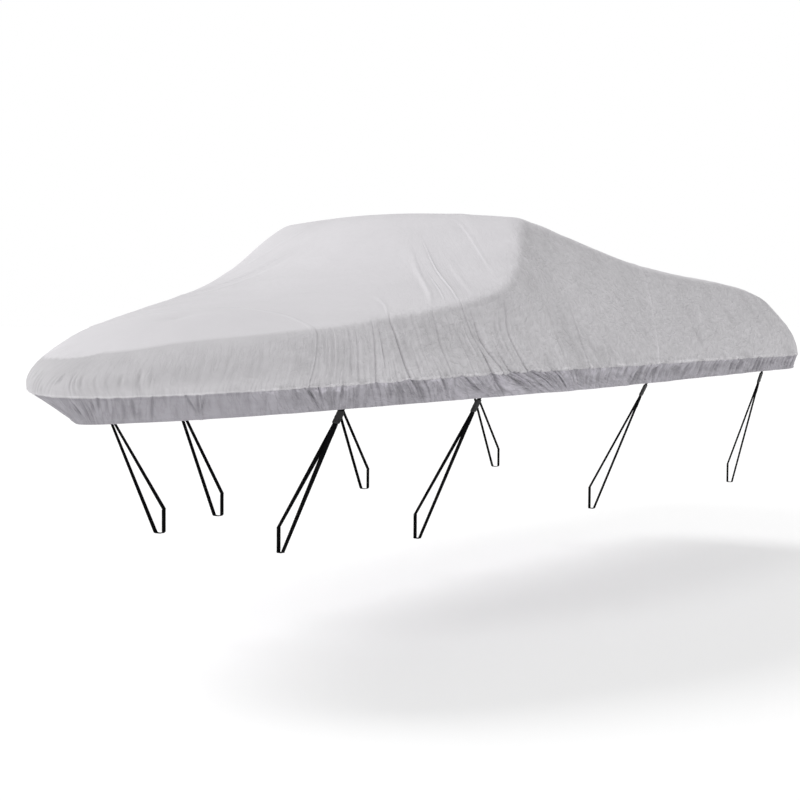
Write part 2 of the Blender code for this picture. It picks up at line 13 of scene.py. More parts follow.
import bpy
import numpy as np
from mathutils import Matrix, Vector


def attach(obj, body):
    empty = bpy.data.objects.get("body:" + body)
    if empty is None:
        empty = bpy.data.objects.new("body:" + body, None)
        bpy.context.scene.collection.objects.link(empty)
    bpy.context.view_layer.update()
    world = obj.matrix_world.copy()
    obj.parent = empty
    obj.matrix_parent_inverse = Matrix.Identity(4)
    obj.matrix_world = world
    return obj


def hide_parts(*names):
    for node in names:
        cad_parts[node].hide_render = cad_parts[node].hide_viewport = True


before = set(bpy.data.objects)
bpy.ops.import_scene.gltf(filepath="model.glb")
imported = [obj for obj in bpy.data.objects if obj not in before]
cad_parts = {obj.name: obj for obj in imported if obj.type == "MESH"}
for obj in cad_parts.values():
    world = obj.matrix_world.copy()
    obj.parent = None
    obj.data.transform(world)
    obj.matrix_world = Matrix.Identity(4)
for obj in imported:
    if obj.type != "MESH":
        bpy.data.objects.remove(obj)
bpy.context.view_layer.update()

# %% [markdown]
# ## Where the viewer stands
#
# A person stands off the port bow and looks slightly down, with a long lens, so the camera is placed by
# its real position in metres, its compass heading and its dip. A camera has no size of its own, so plain
# numbers are enough, and `to_track_quat` turns a direction into a rotation.

# %% Camera
EYE = Vector((-6.6099, -4.7044, -0.4228))
HEADING, DIP = 35.4, 3.44
LENS, SENSOR, FARTHEST = 73.9, 36.0, 300.0

camera = bpy.data.objects.new("camera", bpy.data.cameras.new("camera"))
camera.data.lens, camera.data.sensor_width, camera.data.clip_end = LENS, SENSOR, FARTHEST
heading, dip = radians(HEADING), radians(DIP)
gaze = Vector((cos(heading) * cos(dip), sin(heading) * cos(dip), -sin(dip)))
camera.location = EYE
camera.rotation_euler = gaze.to_track_quat("-Z", "Y").to_euler()
bpy.context.scene.collection.objects.link(camera)
bpy.context.scene.camera = camera
print("camera heading", HEADING, "degrees, dip", DIP, "degrees")

# %% [markdown]
# ## A plain studio
#
# The cover is held up by the boat, which is left out, so the floor lies where the trailer's wheels would
# stand. A wide disc is simpler than a curved backdrop and works from every side, and it glows a little, so
# that it is as white as the sky where they meet. The light is an even sky, bright at the horizon and dimmer
# overhead, with one broad soft sun high to starboard and a weaker one off the bow. They leave the port
# side in soft shade, and with the top of the cloth painted lighter and its side darker, that draws the line of the
# cover's shoulder.

# %% Helpers for node materials
def node(tree, kind, **values):
    """A node of this kind. A value whose name is a socket sets that socket, and any other sets a property."""
    made = tree.nodes.new(kind)
    for name, value in values.items():
        label = name.replace("_", " ")
        if label in made.inputs and not hasattr(made, name):
            made.inputs[label].default_value = value
        else:
            setattr(made, name, value)
    return made


def new_material(name, roughness, sheen=0.0, colour=(0.5, 0.5, 0.5, 1)):
    """A material with its tree and its shader, whose even values sit on the shader's own sockets."""
    material = bpy.data.materials.new(name)
    material.use_nodes = True
    shader = material.node_tree.nodes["Principled BSDF"]
    shader.inputs["Base Color"].default_value = colour
    shader.inputs["Roughness"].default_value = roughness
    shader.inputs["Sheen Weight"].default_value = sheen
    return material, material.node_tree, shader


def noise_at(tree, place, **values):
    """Noise read at a place, from 0 to 1 and near 0.5 over most of it."""
    made = node(tree, "ShaderNodeTexNoise", **values)
    tree.links.new(place, made.inputs["Vector"])
    return made.outputs["Fac"]


def bands(tree, uv, direction, pitch, **values):
    """Sine bands one pitch apart, in metres: this texture has ten bands in a length of pi over its scale."""
    made = node(tree, "ShaderNodeTexWave", bands_direction=direction, Scale=pi / (10 * pitch), **values)
    tree.links.new(uv, made.inputs["Vector"])
    return made.outputs["Fac"]


def bumped(tree, height, strength, distance, under=None):
    """A normal that leans with the slope of a height, and starts from another normal where one is given."""
    made = node(tree, "ShaderNodeBump", Strength=strength, Distance=distance)
    tree.links.new(height, made.inputs["Height"])
    if under is not None:
        tree.links.new(under, made.inputs["Normal"])
    return made.outputs["Normal"]


def scaled(tree, colour, factor):
    """A colour times a number that changes from place to place."""
    made = node(tree, "ShaderNodeVectorMath", operation="SCALE")
    made.inputs[0].default_value = colour
    tree.links.new(factor, made.inputs["Scale"])
    return made.outputs["Vector"]


def paler(tree, source, low, high, colour):
    """A ramp from a colour, where the source is low, to 1.8 times that colour, where it is high."""
    made = node(tree, "ShaderNodeValToRGB")
    shades = colour, [1.8 * c + 0.001 for c in colour]
    for element, position, shade in zip(made.color_ramp.elements, (low, high), shades):
        element.position, element.color = position, (*shade, 1)
    tree.links.new(source, made.inputs["Fac"])
    return made.outputs["Color"]


# %% Floor, sky and suns
FLOOR_HEIGHT, FLOOR_RADIUS = -1.923, 90.0
FLOOR_TONE, FLOOR_GLOW = 0.90, 0.22
SKY_LOW, SKY_HIGH = 1.0, 0.52
Sun = namedtuple("Sun", "name towards strength spread")
SUNS = [
    Sun("high_sun", Vector((-0.10, 0.70, 0.71)), 1.10, 22),
    Sun("bow_light", Vector((-0.82, 0.05, 0.57)), 0.45, 18),
]

turn = np.linspace(0, 2 * pi, 96, endpoint=False)
rim = np.stack([FLOOR_RADIUS * np.cos(turn), FLOOR_RADIUS * np.sin(turn), 0 * turn + FLOOR_HEIGHT], axis=1)
floor_mesh = bpy.data.meshes.new("floor")
floor_mesh.from_pydata(rim.tolist(), [], [list(range(len(rim)))])
floor = bpy.data.objects.new("floor", floor_mesh)
bpy.context.scene.collection.objects.link(floor)
floor_finish, _, floor_shader = new_material("floor_finish", 0.9, colour=(FLOOR_TONE, FLOOR_TONE, FLOOR_TONE, 1))
floor_shader.inputs["Emission Color"].default_value = (1, 1, 1, 1)
floor_shader.inputs["Emission Strength"].default_value = FLOOR_GLOW
floor_mesh.materials.append(floor_finish)

world = bpy.data.worlds.new("studio")
world.use_nodes = True
bpy.context.scene.world = world
sky = world.node_tree
where = node(sky, "ShaderNodeTexCoord")
split = node(sky, "ShaderNodeSeparateXYZ")
heights = {"From_Min": 0.26, "From_Max": 0.50, "To_Min": SKY_LOW, "To_Max": SKY_HIGH}
fade = node(sky, "ShaderNodeMapRange", interpolation_type="SMOOTHSTEP", **heights)
sky.links.new(where.outputs["Generated"], split.inputs[0])
sky.links.new(split.outputs["Z"], fade.inputs["Value"])
sky.links.new(fade.outputs["Result"], sky.nodes["Background"].inputs["Color"])

for sun in SUNS:
    lamp = bpy.data.objects.new(sun.name, bpy.data.lights.new(sun.name, "SUN"))
    lamp.data.energy, lamp.data.angle = sun.strength, radians(sun.spread)
    lamp.rotation_euler = sun.towards.to_track_quat("Z", "Y").to_euler()
    bpy.context.scene.collection.objects.link(lamp)
bpy.context.scene.view_settings.view_transform = "Standard"
print("floor at", FLOOR_HEIGHT, "m,", len(SUNS), "suns")

# %% [markdown]
# ## The cut of the cover
#
# A fitted cover is cut to cross-sections of its boat. Each section here has a crease where the skirt is
# sewn on, a hem below it, a shoulder above it and a point on the spine. The same sections shaped the
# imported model, so the fine cloth lies exactly on it. The whole cover could also be sculpted, but a
# surface worked out from sections can be read again at any place, which the seams and stitches need.

# %% Sections, from the stem round to the middle of the transom
CLOTH, TOP_GIRTH = 0.002, 2.72
ROUNDING, ROUNDED_WITHIN = 0.10, 0.4
SOFTENING = ((-1, 1), (-0.5, 2), (0, 2), (0.5, 2), (1, 1))
SHOULDER_HANDLE, SHOULDER_LIFT, SPINE_HANDLE = 0.30, 0.22, 0.40
PORT, STARBOARD = -1, 1
HEM, CREASE, SHOULDER, SPINE = 0.0, 1.0, 2.0, 3.0

SECTIONS = np.array([
    # crease x, y and z, hem x, y and z, shoulder x, y and z, spine x and z, and bulge
    [0.075, 0.000, -0.062, 0.185, 0.000, -0.180, 0.250, 0.000, 0.084, 0.740, 0.225, 0.055],
    [0.125, 0.205, -0.060, 0.240, 0.105, -0.176, 0.280, 0.135, 0.095, 0.760, 0.228, 0.062],
    [0.290, 0.430, -0.050, 0.420, 0.330, -0.163, 0.397, 0.305, 0.128, 0.800, 0.238, 0.053],
    [0.600, 0.670, -0.034, 0.690, 0.585, -0.144, 0.670, 0.540, 0.166, 0.920, 0.260, 0.030],
    [0.950, 0.825, -0.020, 0.980, 0.750, -0.129, 0.990, 0.706, 0.212, 1.150, 0.280, 0.020],
    [1.350, 0.935, -0.008, 1.360, 0.875, -0.118, 1.370, 0.833, 0.274, 1.400, 0.320, 0.015],
    [1.650, 0.985, -0.003, 1.660, 0.930, -0.113, 1.651, 0.898, 0.323, 1.620, 0.390, 0.015],
    [1.900, 1.015, 0.000, 1.900, 0.965, -0.111, 1.876, 0.903, 0.383, 1.800, 0.485, 0.015],
    [2.080, 1.030, 0.000, 2.080, 0.980, -0.110, 2.050, 0.849, 0.483, 1.980, 0.610, 0.020],
    [2.230, 1.040, 0.000, 2.230, 0.990, -0.110, 2.205, 0.768, 0.628, 2.140, 0.705, 0.020],
    [2.320, 1.042, 0.000, 2.320, 0.992, -0.109, 2.290, 0.736, 0.683, 2.230, 0.725, 0.020],
    [2.430, 1.045, 0.000, 2.430, 0.995, -0.109, 2.420, 0.736, 0.670, 2.370, 0.720, 0.020],
    [2.640, 1.050, 0.000, 2.640, 1.000, -0.108, 2.723, 0.759, 0.607, 2.660, 0.665, 0.020],
    [3.100, 1.050, 0.000, 3.100, 1.000, -0.105, 3.280, 0.786, 0.501, 3.220, 0.570, 0.020],
    [3.600, 1.050, -0.001, 3.600, 1.000, -0.101, 3.800, 0.811, 0.441, 3.740, 0.500, 0.025],
    [4.150, 1.040, -0.003, 4.150, 1.000, -0.097, 4.280, 0.830, 0.404, 4.150, 0.455, 0.035],
    [4.600, 1.035, -0.005, 4.600, 1.000, -0.094, 4.650, 0.830, 0.362, 4.400, 0.425, 0.045],
    [4.900, 1.020, -0.006, 4.890, 0.995, -0.093, 4.870, 0.810, 0.318, 4.540, 0.408, 0.035],
    [5.050, 0.945, -0.007, 5.040, 0.930, -0.092, 4.957, 0.730, 0.298, 4.610, 0.398, 0.064],
    [5.100, 0.740, -0.007, 5.090, 0.730, -0.092, 5.000, 0.560, 0.296, 4.670, 0.389, 0.055],
    [5.120, 0.360, -0.007, 5.110, 0.355, -0.092, 5.020, 0.280, 0.294, 4.710, 0.382, 0.050],
    [5.125, 0.000, -0.007, 5.115, 0.000, -0.092, 5.025, 0.000, 0.294, 4.730, 0.378, 0.050],
])



def unit(vectors):
    """Each vector over its own length."""
    return vectors / np.linalg.norm(vectors, axis=-1, keepdims=True)


def running_length(points, axis=0):
    """How far each point is along its line: the lengths of the steps before it, summed."""
    steps = np.diff(points, axis=axis, prepend=np.take(points, [0], axis=axis))
    return np.linalg.norm(steps, axis=-1).cumsum(axis=axis)


MIRRORED = np.array([1, -1, 1, 1, -1, 1, 1, -1, 1, 1, 1, 1])
CONTROLS = np.concatenate([SECTIONS[2:0:-1] * MIRRORED, SECTIONS, SECTIONS[-2:-4:-1] * MIRRORED])
KNOTS = running_length(CONTROLS[:, :3])
KNOTS -= KNOTS[2]
GIRTH_END = KNOTS[-3]
print("the gunwale is", round(GIRTH_END, 3), "m long from the stem to the middle of the transom")

# %% [markdown]
# ## The cloth as one function
#
# A place on the cover has two numbers: its girth, which is how far round the gunwale it is from the stem,
# and its row, which climbs from the hem at 0 over the crease at 1 and the shoulder at 2 to the spine at 3.
# The sections are joined by a smooth cubic through all of them, and each section is drawn through its own
# points, then softened, because cloth bends round a shoulder and doesn't fold sharply there.

# %% Read the sections at any girth
def controls_at(girth):
    """A cubic Hermite blend of the two sections round each girth. Its slopes are means of its neighbours'."""
    steps = np.diff(KNOTS)[:, None]
    slopes = np.diff(CONTROLS, axis=0) / steps
    between = (slopes[:-1] * steps[1:] + slopes[1:] * steps[:-1]) / (steps[:-1] + steps[1:])
    tangents = np.concatenate([slopes[:1], between, slopes[-1:]])
    i = np.clip(np.searchsorted(KNOTS, girth, side="right") - 1, 0, len(KNOTS) - 2)
    length = steps[i]
    t = ((girth - KNOTS[i]) / length[:, 0])[:, None]
    return (
        (2 * t**3 - 3 * t**2 + 1) * CONTROLS[i]
        + (t**3 - 2 * t**2 + t) * length * tangents[i]
        + (3 * t**2 - 2 * t**3) * CONTROLS[i + 1]
        + (t**3 - t**2) * length * tangents[i + 1]
    )


def sharp_profile(controls, row):
    """Straight up the skirt, then a side bowed out by 4t(1-t) of its bulge, then a cubic curve to the spine."""
    crease, hem, shoulder = controls[:, :3], controls[:, 3:6], controls[:, 6:9]
    spine = np.stack([controls[:, 9], np.zeros(len(controls)), controls[:, 10]], axis=1)
    level = np.array([1, 1, 0])
    outward = unit((crease - spine) * level)
    up_skirt, up_side, inwards = (np.clip(row - a, 0, 1)[:, None] for a in (HEM, CREASE, SHOULDER))
    skirt = hem * (1 - up_skirt) + crease * up_skirt
    side = crease * (1 - up_side) + shoulder * up_side
    side += outward * controls[:, 11:12] * 4 * up_side * (1 - up_side)
    lift = np.array([0, 0, SHOULDER_LIFT]) * (spine - shoulder)[:, 2:]
    first = shoulder + SHOULDER_HANDLE * (spine - shoulder) + lift
    second = spine + SPINE_HANDLE * (shoulder - spine) * level
    rest = 1 - inwards
    deck = rest**3 * shoulder + 3 * inwards * rest**2 * first
    deck += 3 * inwards**2 * rest * second + inwards**3 * spine
    return np.where(row[:, None] <= CREASE, skirt, np.where(row[:, None] <= SHOULDER, side, deck))


# %% Soften the profile and find which way the cloth faces
def smooth_cloth(girth, row):
    """Each place above the crease is a weighted mean of five places along its section, mirrored past the spine."""
    shape = np.broadcast(girth, row).shape
    girth, row = (np.broadcast_to(a, shape).ravel().astype(float) for a in (girth, row))
    controls = controls_at(girth)
    reach = ROUNDING * np.clip((row - CREASE) / ROUNDED_WITHIN, 0, 1)
    total = np.zeros((len(row), 3))
    for offset, weight in SOFTENING:
        at = row + offset * reach
        beyond = at > SPINE
        point = sharp_profile(controls, np.where(beyond, 2 * SPINE - at, at))
        point[beyond, 1] *= -1
        total += weight * point
    return (total / sum(weight for _, weight in SOFTENING)).reshape(shape + (3,))


ORIGIN = smooth_cloth(TOP_GIRTH, SPINE) - np.array([0, 0, CLOTH])


def bare_cloth(girth, row):
    """Point, outward unit normal, and metres to one unit of girth and of row, by differences of the cloth."""
    girth, row = np.broadcast_arrays(girth, row)
    step = 1e-4
    point = smooth_cloth(girth, row)
    aft = (smooth_cloth(girth + step, row) - point) / step
    top = np.minimum(row + step, SPINE)
    up = (smooth_cloth(girth, top) - smooth_cloth(girth, row - step)) / (top - row + step)[..., None]
    return point - ORIGIN, unit(np.cross(up, aft)), np.linalg.norm(aft, axis=-1), np.linalg.norm(up, axis=-1)


top_point, top_normal, _, _ = bare_cloth(TOP_GIRTH, SPINE)
print("the top of the cloth is at", top_point.round(4), "and faces", top_normal.round(3))

# %% [markdown]
# ## Large folds, creases and gathers
#
# Cloth that is pulled down by straps folds in three ways. Broad soft folds run from the windshield's
# corner down to the hem. Sharp creases, a valley with a soft lip on each side, run inside and between
# them. Small gathers sit where the skirt is eased round a curve. All three are bells, or sums of bells,
# across a line on the cloth, added to one height field. A simulation could wrinkle the cloth too, but it
# wouldn't put each fold where this cover has it.

# %% Broad folds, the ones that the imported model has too
TAUT_DECK = ([2.0, 2.2], [1.0, 0.4])
Fold = namedtuple("Fold", "side start middle end width height")
FOLDS = [Fold(*row) for row in (
    (PORT, (1.56, 0.14), (1.45, 1.07), (1.47, 2.00), 0.032, -0.011),
    (PORT, (1.30, 0.30), (1.31, 1.07), (1.35, 1.93), 0.030, -0.008),
    (PORT, (1.94, 0.17), (1.74, 1.03), (1.70, 1.50), 0.030, -0.009),
    (PORT, (2.06, 0.24), (1.95, 1.03), (1.86, 2.00), 0.032, -0.012),
    (PORT, (2.17, 0.20), (2.00, 1.05), (1.91, 1.80), 0.030, 0.009),
    (PORT, (2.28, 0.14), (2.06, 1.10), (1.95, 1.50), 0.034, -0.013),
    (PORT, (2.44, 0.14), (2.27, 0.75), (2.14, 1.27), 0.032, -0.010),
    (PORT, (1.73, 2.07), (2.17, 2.50), (2.39, 2.75), 0.045, 0.009),
    (PORT, (1.90, 2.08), (2.26, 2.49), (2.45, 2.70), 0.040, 0.007),
    (PORT, (2.45, 2.25), (2.67, 2.50), (2.80, 2.73), 0.045, 0.006),
    (PORT, (0.97, 0.20), (1.00, 1.20), (1.05, 1.90), 0.035, -0.005),
    (PORT, (3.36, 0.10), (3.42, 1.00), (3.60, 1.90), 0.045, -0.006),
    (STARBOARD, (1.50, 0.20), (1.42, 1.10), (1.40, 1.90), 0.032, -0.009),
    (STARBOARD, (2.10, 0.25), (1.92, 1.00), (1.78, 2.00), 0.034, -0.012),
    (STARBOARD, (2.22, 0.20), (2.02, 1.10), (1.86, 1.70), 0.030, 0.008),
    (STARBOARD, (2.38, 0.20), (2.20, 1.05), (2.05, 1.60), 0.036, -0.012),
    (STARBOARD, (2.70, 0.15), (2.55, 0.80), (2.48, 1.30), 0.036, -0.009),
    (STARBOARD, (1.80, 2.10), (2.10, 2.45), (2.36, 2.80), 0.045, 0.008),
    (STARBOARD, (3.40, 0.10), (3.44, 1.05), (3.62, 1.90), 0.045, -0.006),
    (STARBOARD, (4.20, 0.20), (4.30, 1.10), (4.38, 1.70), 0.045, -0.006),
)]


def bell(distance, width=1.0):
    """e to the minus square of the distance over the width: 1 in the middle, and near 0 from two widths on."""
    return np.exp(-((distance / width) ** 2))


def across_and_fade(fold, girth, row):
    """Distance across a fold's line, in its own widths, and how much of it is left near its two ends."""
    line = np.array([fold.start, fold.middle, fold.end])
    line = line[::-1] if line[0, 1] > line[-1, 1] else line
    away = (girth - np.interp(row, line[:, 1], line[:, 0])) / fold.width
    along = np.clip((row - line[0, 1]) / (line[-1, 1] - line[0, 1]), 0, 1)
    return away, np.clip(4 * along, 0, 1) * np.clip(4 * (1 - along), 0, 1)


def broad_folds(girth, row, side):
    """Each fold is its height times a bell of the distance across it, less on the taut deck."""
    height = np.zeros(girth.shape)
    for fold in FOLDS:
        away, fade = across_and_fade(fold, girth, row)
        height += (side == fold.side) * fold.height * fade * bell(away)
    return height * np.interp(row, *TAUT_DECK)


# %% [markdown]
# ## The lines of pull
#
# Straps pull the cloth from the windshield's corners down to the hem, and its small creases run along
# those lines of pull. They lean one way on the skirt and another on the side and the foredeck. So the
# cloth gets one more number, its base: the girth at which a line of pull crosses the gunwale. Every
# column of the mesh is such a line, which lets a crease be drawn sharply with few points, where a square
# grid would turn it into steps.

# %% Girth of each line of pull, at nine rows
PULL_ROWS = np.array([0.00, 0.55, 1.00, 1.25, 1.50, 2.00, 2.40, 2.70, 3.00])
PULL_BLUR = 0.09
PULLS = {
    0.000: [0.000] * 9,
    0.100: [0.100, 0.100, 0.100, 0.080, 0.065, 0.060, 0.070, 0.080, 0.080],
    0.300: [0.300, 0.300, 0.300, 0.300, 0.310, 0.330, 0.340, 0.340, 0.340],
    0.545: [0.545, 0.545, 0.545, 0.570, 0.600, 0.655, 0.690, 0.690, 0.690],
    0.800: [0.830, 0.815, 0.800, 0.825, 0.855, 0.915, 0.955, 0.955, 0.955],
    0.975: [1.060, 1.010, 0.975, 1.003, 1.030, 1.085, 1.129, 1.129, 1.129],
    1.095: [1.135, 1.110, 1.095, 1.115, 1.135, 1.177, 1.250, 1.270, 1.280],
    1.215: [1.255, 1.235, 1.215, 1.222, 1.238, 1.275, 1.400, 1.460, 1.480],
    1.300: [1.370, 1.337, 1.300, 1.310, 1.325, 1.362, 1.550, 1.660, 1.700],
    1.475: [1.590, 1.540, 1.475, 1.460, 1.452, 1.445, 1.740, 1.920, 2.000],
    1.710: [1.800, 1.755, 1.710, 1.680, 1.665, 1.680, 2.060, 2.420, 2.560],
    1.770: [2.000, 1.862, 1.770, 1.750, 1.735, 1.745, 2.110, 2.445, 2.580],
    1.965: [2.105, 2.020, 1.965, 1.915, 1.860, 1.845, 2.200, 2.500, 2.620],
    2.020: [2.320, 2.155, 2.020, 1.945, 1.905, 1.890, 2.260, 2.540, 2.660],
    2.200: [2.500, 2.370, 2.200, 2.130, 2.092, 2.170, 2.520, 2.660, 2.740],
    2.450: [2.620, 2.540, 2.450, 2.420, 2.410, 2.450, 2.670, 2.760, 2.820],
    2.720: [2.780, 2.750, 2.720, 2.715, 2.730, 2.790, 2.880, 2.920, 2.950],
    3.100: [3.100, 3.100, 3.100, 3.120, 3.150, 3.210, 3.250, 3.255, 3.255],
    3.384: [3.384, 3.384, 3.384, 3.414, 3.444, 3.504, 3.552, 3.552, 3.552],
    4.600: [4.600] * 9,
    GIRTH_END: [GIRTH_END] * 9,
}
PULL_BASES, PULL_TABLE = np.array(list(PULLS)), np.array(list(PULLS.values()))


def draped(base, row):
    """Girth on a line of pull: straight between the table's entries, then a mean of three nearby rows."""
    base, row = np.broadcast_arrays(base, row)
    i = np.clip(np.searchsorted(PULL_BASES, base, side="right") - 1, 0, len(PULL_BASES) - 2)
    share = (base - PULL_BASES[i]) / (PULL_BASES[i + 1] - PULL_BASES[i])
    total = 0
    for offset in (-PULL_BLUR, 0, PULL_BLUR):
        near = np.clip(row + offset, 0, 3)
        j = np.clip(np.searchsorted(PULL_ROWS, near, side="right") - 1, 0, len(PULL_ROWS) - 2)
        t = (near - PULL_ROWS[j]) / np.diff(PULL_ROWS)[j]
        lower = PULL_TABLE[i, j] * (1 - t) + PULL_TABLE[i, j + 1] * t
        upper = PULL_TABLE[i + 1, j] * (1 - t) + PULL_TABLE[i + 1, j + 1] * t
        total = total + (lower * (1 - share) + upper * share) / 3
    return total


# %% Sharp creases along them
LIP_AT, LIP_WIDTH, LIP_SHARE, SEEN_WITHIN = 2.6, 1.6, 0.36, 8
Crease = namedtuple("Crease", "base low high width depth")
PORT_CREASES = [Crease(*row) for row in (
    (0.985, 0.05, 1.04, 0.0050, 0.0050), (1.030, 0.10, 1.30, 0.0045, 0.0034),
    (1.062, 1.02, 1.80, 0.0050, -0.0026), (1.095, 0.30, 1.98, 0.0055, -0.0032),
    (1.140, 0.15, 1.25, 0.0045, 0.0036), (1.178, 1.04, 1.96, 0.0045, 0.0024),
    (1.215, 0.60, 2.00, 0.0050, 0.0032), (1.262, 1.02, 1.70, 0.0050, -0.0024),
    (1.300, 0.30, 2.03, 0.0050, 0.0050), (1.352, 1.05, 1.90, 0.0050, 0.0028),
    (1.405, 0.08, 1.45, 0.0055, 0.0034), (1.475, 0.03, 2.08, 0.0050, 0.0070),
    (1.535, 0.10, 1.60, 0.0050, 0.0030), (1.590, 1.04, 2.02, 0.0050, 0.0026),
    (1.640, 0.15, 1.25, 0.0055, 0.0036), (1.710, 0.50, 2.04, 0.0055, 0.0046),
    (1.770, 0.10, 1.12, 0.0056, 0.0066), (1.840, 0.40, 1.70, 0.0050, 0.0030),
    (1.905, 1.05, 1.95, 0.0060, -0.0036), (1.965, 0.08, 2.05, 0.0050, 0.0074),
    (2.020, 0.06, 1.94, 0.0054, 0.0070), (2.085, 0.25, 1.50, 0.0050, 0.0036),
    (2.140, 1.02, 1.85, 0.0060, -0.0032), (2.200, 0.05, 1.97, 0.0060, 0.0070),
    (2.290, 0.10, 1.40, 0.0055, 0.0042), (2.380, 0.06, 1.20, 0.0060, 0.0040),
    (2.510, 0.20, 1.65, 0.0060, 0.0026), (2.700, 0.70, 1.50, 0.0055, 0.0040),
    (2.900, 0.10, 1.25, 0.0060, 0.0028), (3.150, 0.12, 1.10, 0.0055, 0.0034),
    (3.315, 0.03, 1.06, 0.0055, 0.0058), (1.462, 2.02, 2.50, 0.0080, -0.0020),
    (1.700, 2.04, 2.66, 0.0100, -0.0026), (1.790, 2.06, 2.45, 0.0080, -0.0018),
    (1.948, 2.02, 2.60, 0.0100, -0.0032), (2.050, 2.05, 2.42, 0.0090, -0.0020),
    (2.215, 2.10, 2.50, 0.0110, -0.0018),
)]
draw = np.random.default_rng(7)
count = len(PORT_CREASES)
drifts, gains = draw.uniform(-0.022, 0.022, count), draw.uniform(0.6, 1.15, count)
STARBOARD_CREASES = [
    c._replace(base=c.base + drift, depth=c.depth * gain) for c, drift, gain in zip(PORT_CREASES, drifts, gains)
]


def sharp_creases(base, row, side):
    """A narrow valley of the crease's depth between two soft lips about a third as high, fading at both ends."""
    height = np.zeros(base.shape)
    for crease in PORT_CREASES if side == PORT else STARBOARD_CREASES:
        along = (row - crease.low) / (crease.high - crease.low)
        near = (along > 0) & (along < 1) & (np.abs(base - crease.base) < SEEN_WITHIN * crease.width)
        away = (base[near] - crease.base) / crease.width
        fade = np.sin(pi * along[near]) ** 0.6
        lips = bell(away - LIP_AT, LIP_WIDTH) + bell(away + LIP_AT, LIP_WIDTH)
        height[near] -= crease.depth * fade * (bell(away) - LIP_SHARE * lips)
    return height


print(len(FOLDS), "broad folds and", len(PORT_CREASES), "sharp creases on each side")

# %% Gathers: rows of small pleats, each with its own place, length and strength
Gather = namedtuple("Gather", "first last low high pitch width height")
GATHERS = [Gather(*row) for row in (
    (0.00, 0.42, 1.00, 1.62, 0.024, 0.0052, -0.0030), (0.00, 0.36, 0.00, 1.02, 0.025, 0.0058, -0.0050),
    (0.36, 0.98, 0.00, 1.02, 0.040, 0.0064, -0.0022), (0.36, 1.02, 1.02, 1.92, 0.040, 0.0066, -0.0020),
    (0.90, 1.50, 0.03, 1.05, 0.030, 0.0085, -0.0042), (0.98, 1.50, 1.02, 2.00, 0.024, 0.0065, -0.0020),
    (1.50, 2.40, 1.02, 1.95, 0.030, 0.0080, -0.0020), (1.50, 2.62, 0.02, 1.04, 0.034, 0.0095, -0.0040),
    (2.62, 3.38, 0.02, 1.03, 0.056, 0.0150, -0.0062), (2.40, 3.38, 1.00, 1.60, 0.060, 0.0110, 0.0018),
    (3.40, 4.45, 0.02, 1.03, 0.060, 0.0160, -0.0064), (3.46, 4.80, 1.00, 1.45, 0.080, 0.0130, 0.0016),
    (4.40, 5.45, 0.00, 1.05, 0.052, 0.0105, -0.0105), (5.45, 6.33, 0.02, 1.03, 0.056, 0.0140, -0.0050),
)]
Stroke = namedtuple("Stroke", "side low_base low high_base high width height")
STROKES = [Stroke(*row) for row in (
    (PORT, 0.538, 0.15, 0.498, 1.00, 0.0050, -0.0060), (PORT, 0.543, 0.15, 0.546, 1.00, 0.0050, -0.0070),
    (PORT, 0.548, 0.15, 0.578, 1.00, 0.0055, -0.0060), (PORT, 1.010, 0.10, 0.965, 0.98, 0.0055, -0.0055),
    (PORT, 0.900, 0.10, 0.985, 0.95, 0.0060, 0.0036), (PORT, 2.120, 0.25, 1.985, 0.98, 0.0080, 0.0058),
    (PORT, 3.330, 0.02, 3.450, 1.02, 0.0110, -0.0090), (PORT, 3.180, 0.02, 3.230, 0.95, 0.0110, -0.0080),
    (PORT, 4.86, 1.16, 4.28, 1.70, 0.034, 0.0062), (PORT, 4.74, 1.12, 4.40, 1.52, 0.028, 0.0052),
    (PORT, 4.58, 1.12, 4.16, 1.50, 0.034, -0.0050), (PORT, 4.36, 1.10, 4.50, 1.55, 0.015, 0.0050),
    (PORT, 4.22, 1.08, 4.08, 1.48, 0.015, 0.0050), (PORT, 4.66, 1.50, 4.20, 1.88, 0.034, 0.0060),
    (PORT, 3.96, 1.06, 3.80, 1.40, 0.015, -0.0046), (PORT, 3.30, 1.10, 3.02, 1.62, 0.018, 0.0040),
    (PORT, 2.96, 1.20, 2.76, 1.72, 0.016, -0.0042), (PORT, 3.12, 1.02, 3.30, 1.30, 0.015, -0.0050),
    (STARBOARD, 0.548, 0.10, 0.585, 1.00, 0.0055, -0.0060), (STARBOARD, 0.538, 0.15, 0.505, 1.00, 0.0050, -0.0055),
    (STARBOARD, 3.360, 0.02, 3.470, 1.02, 0.0110, -0.0080),
)]


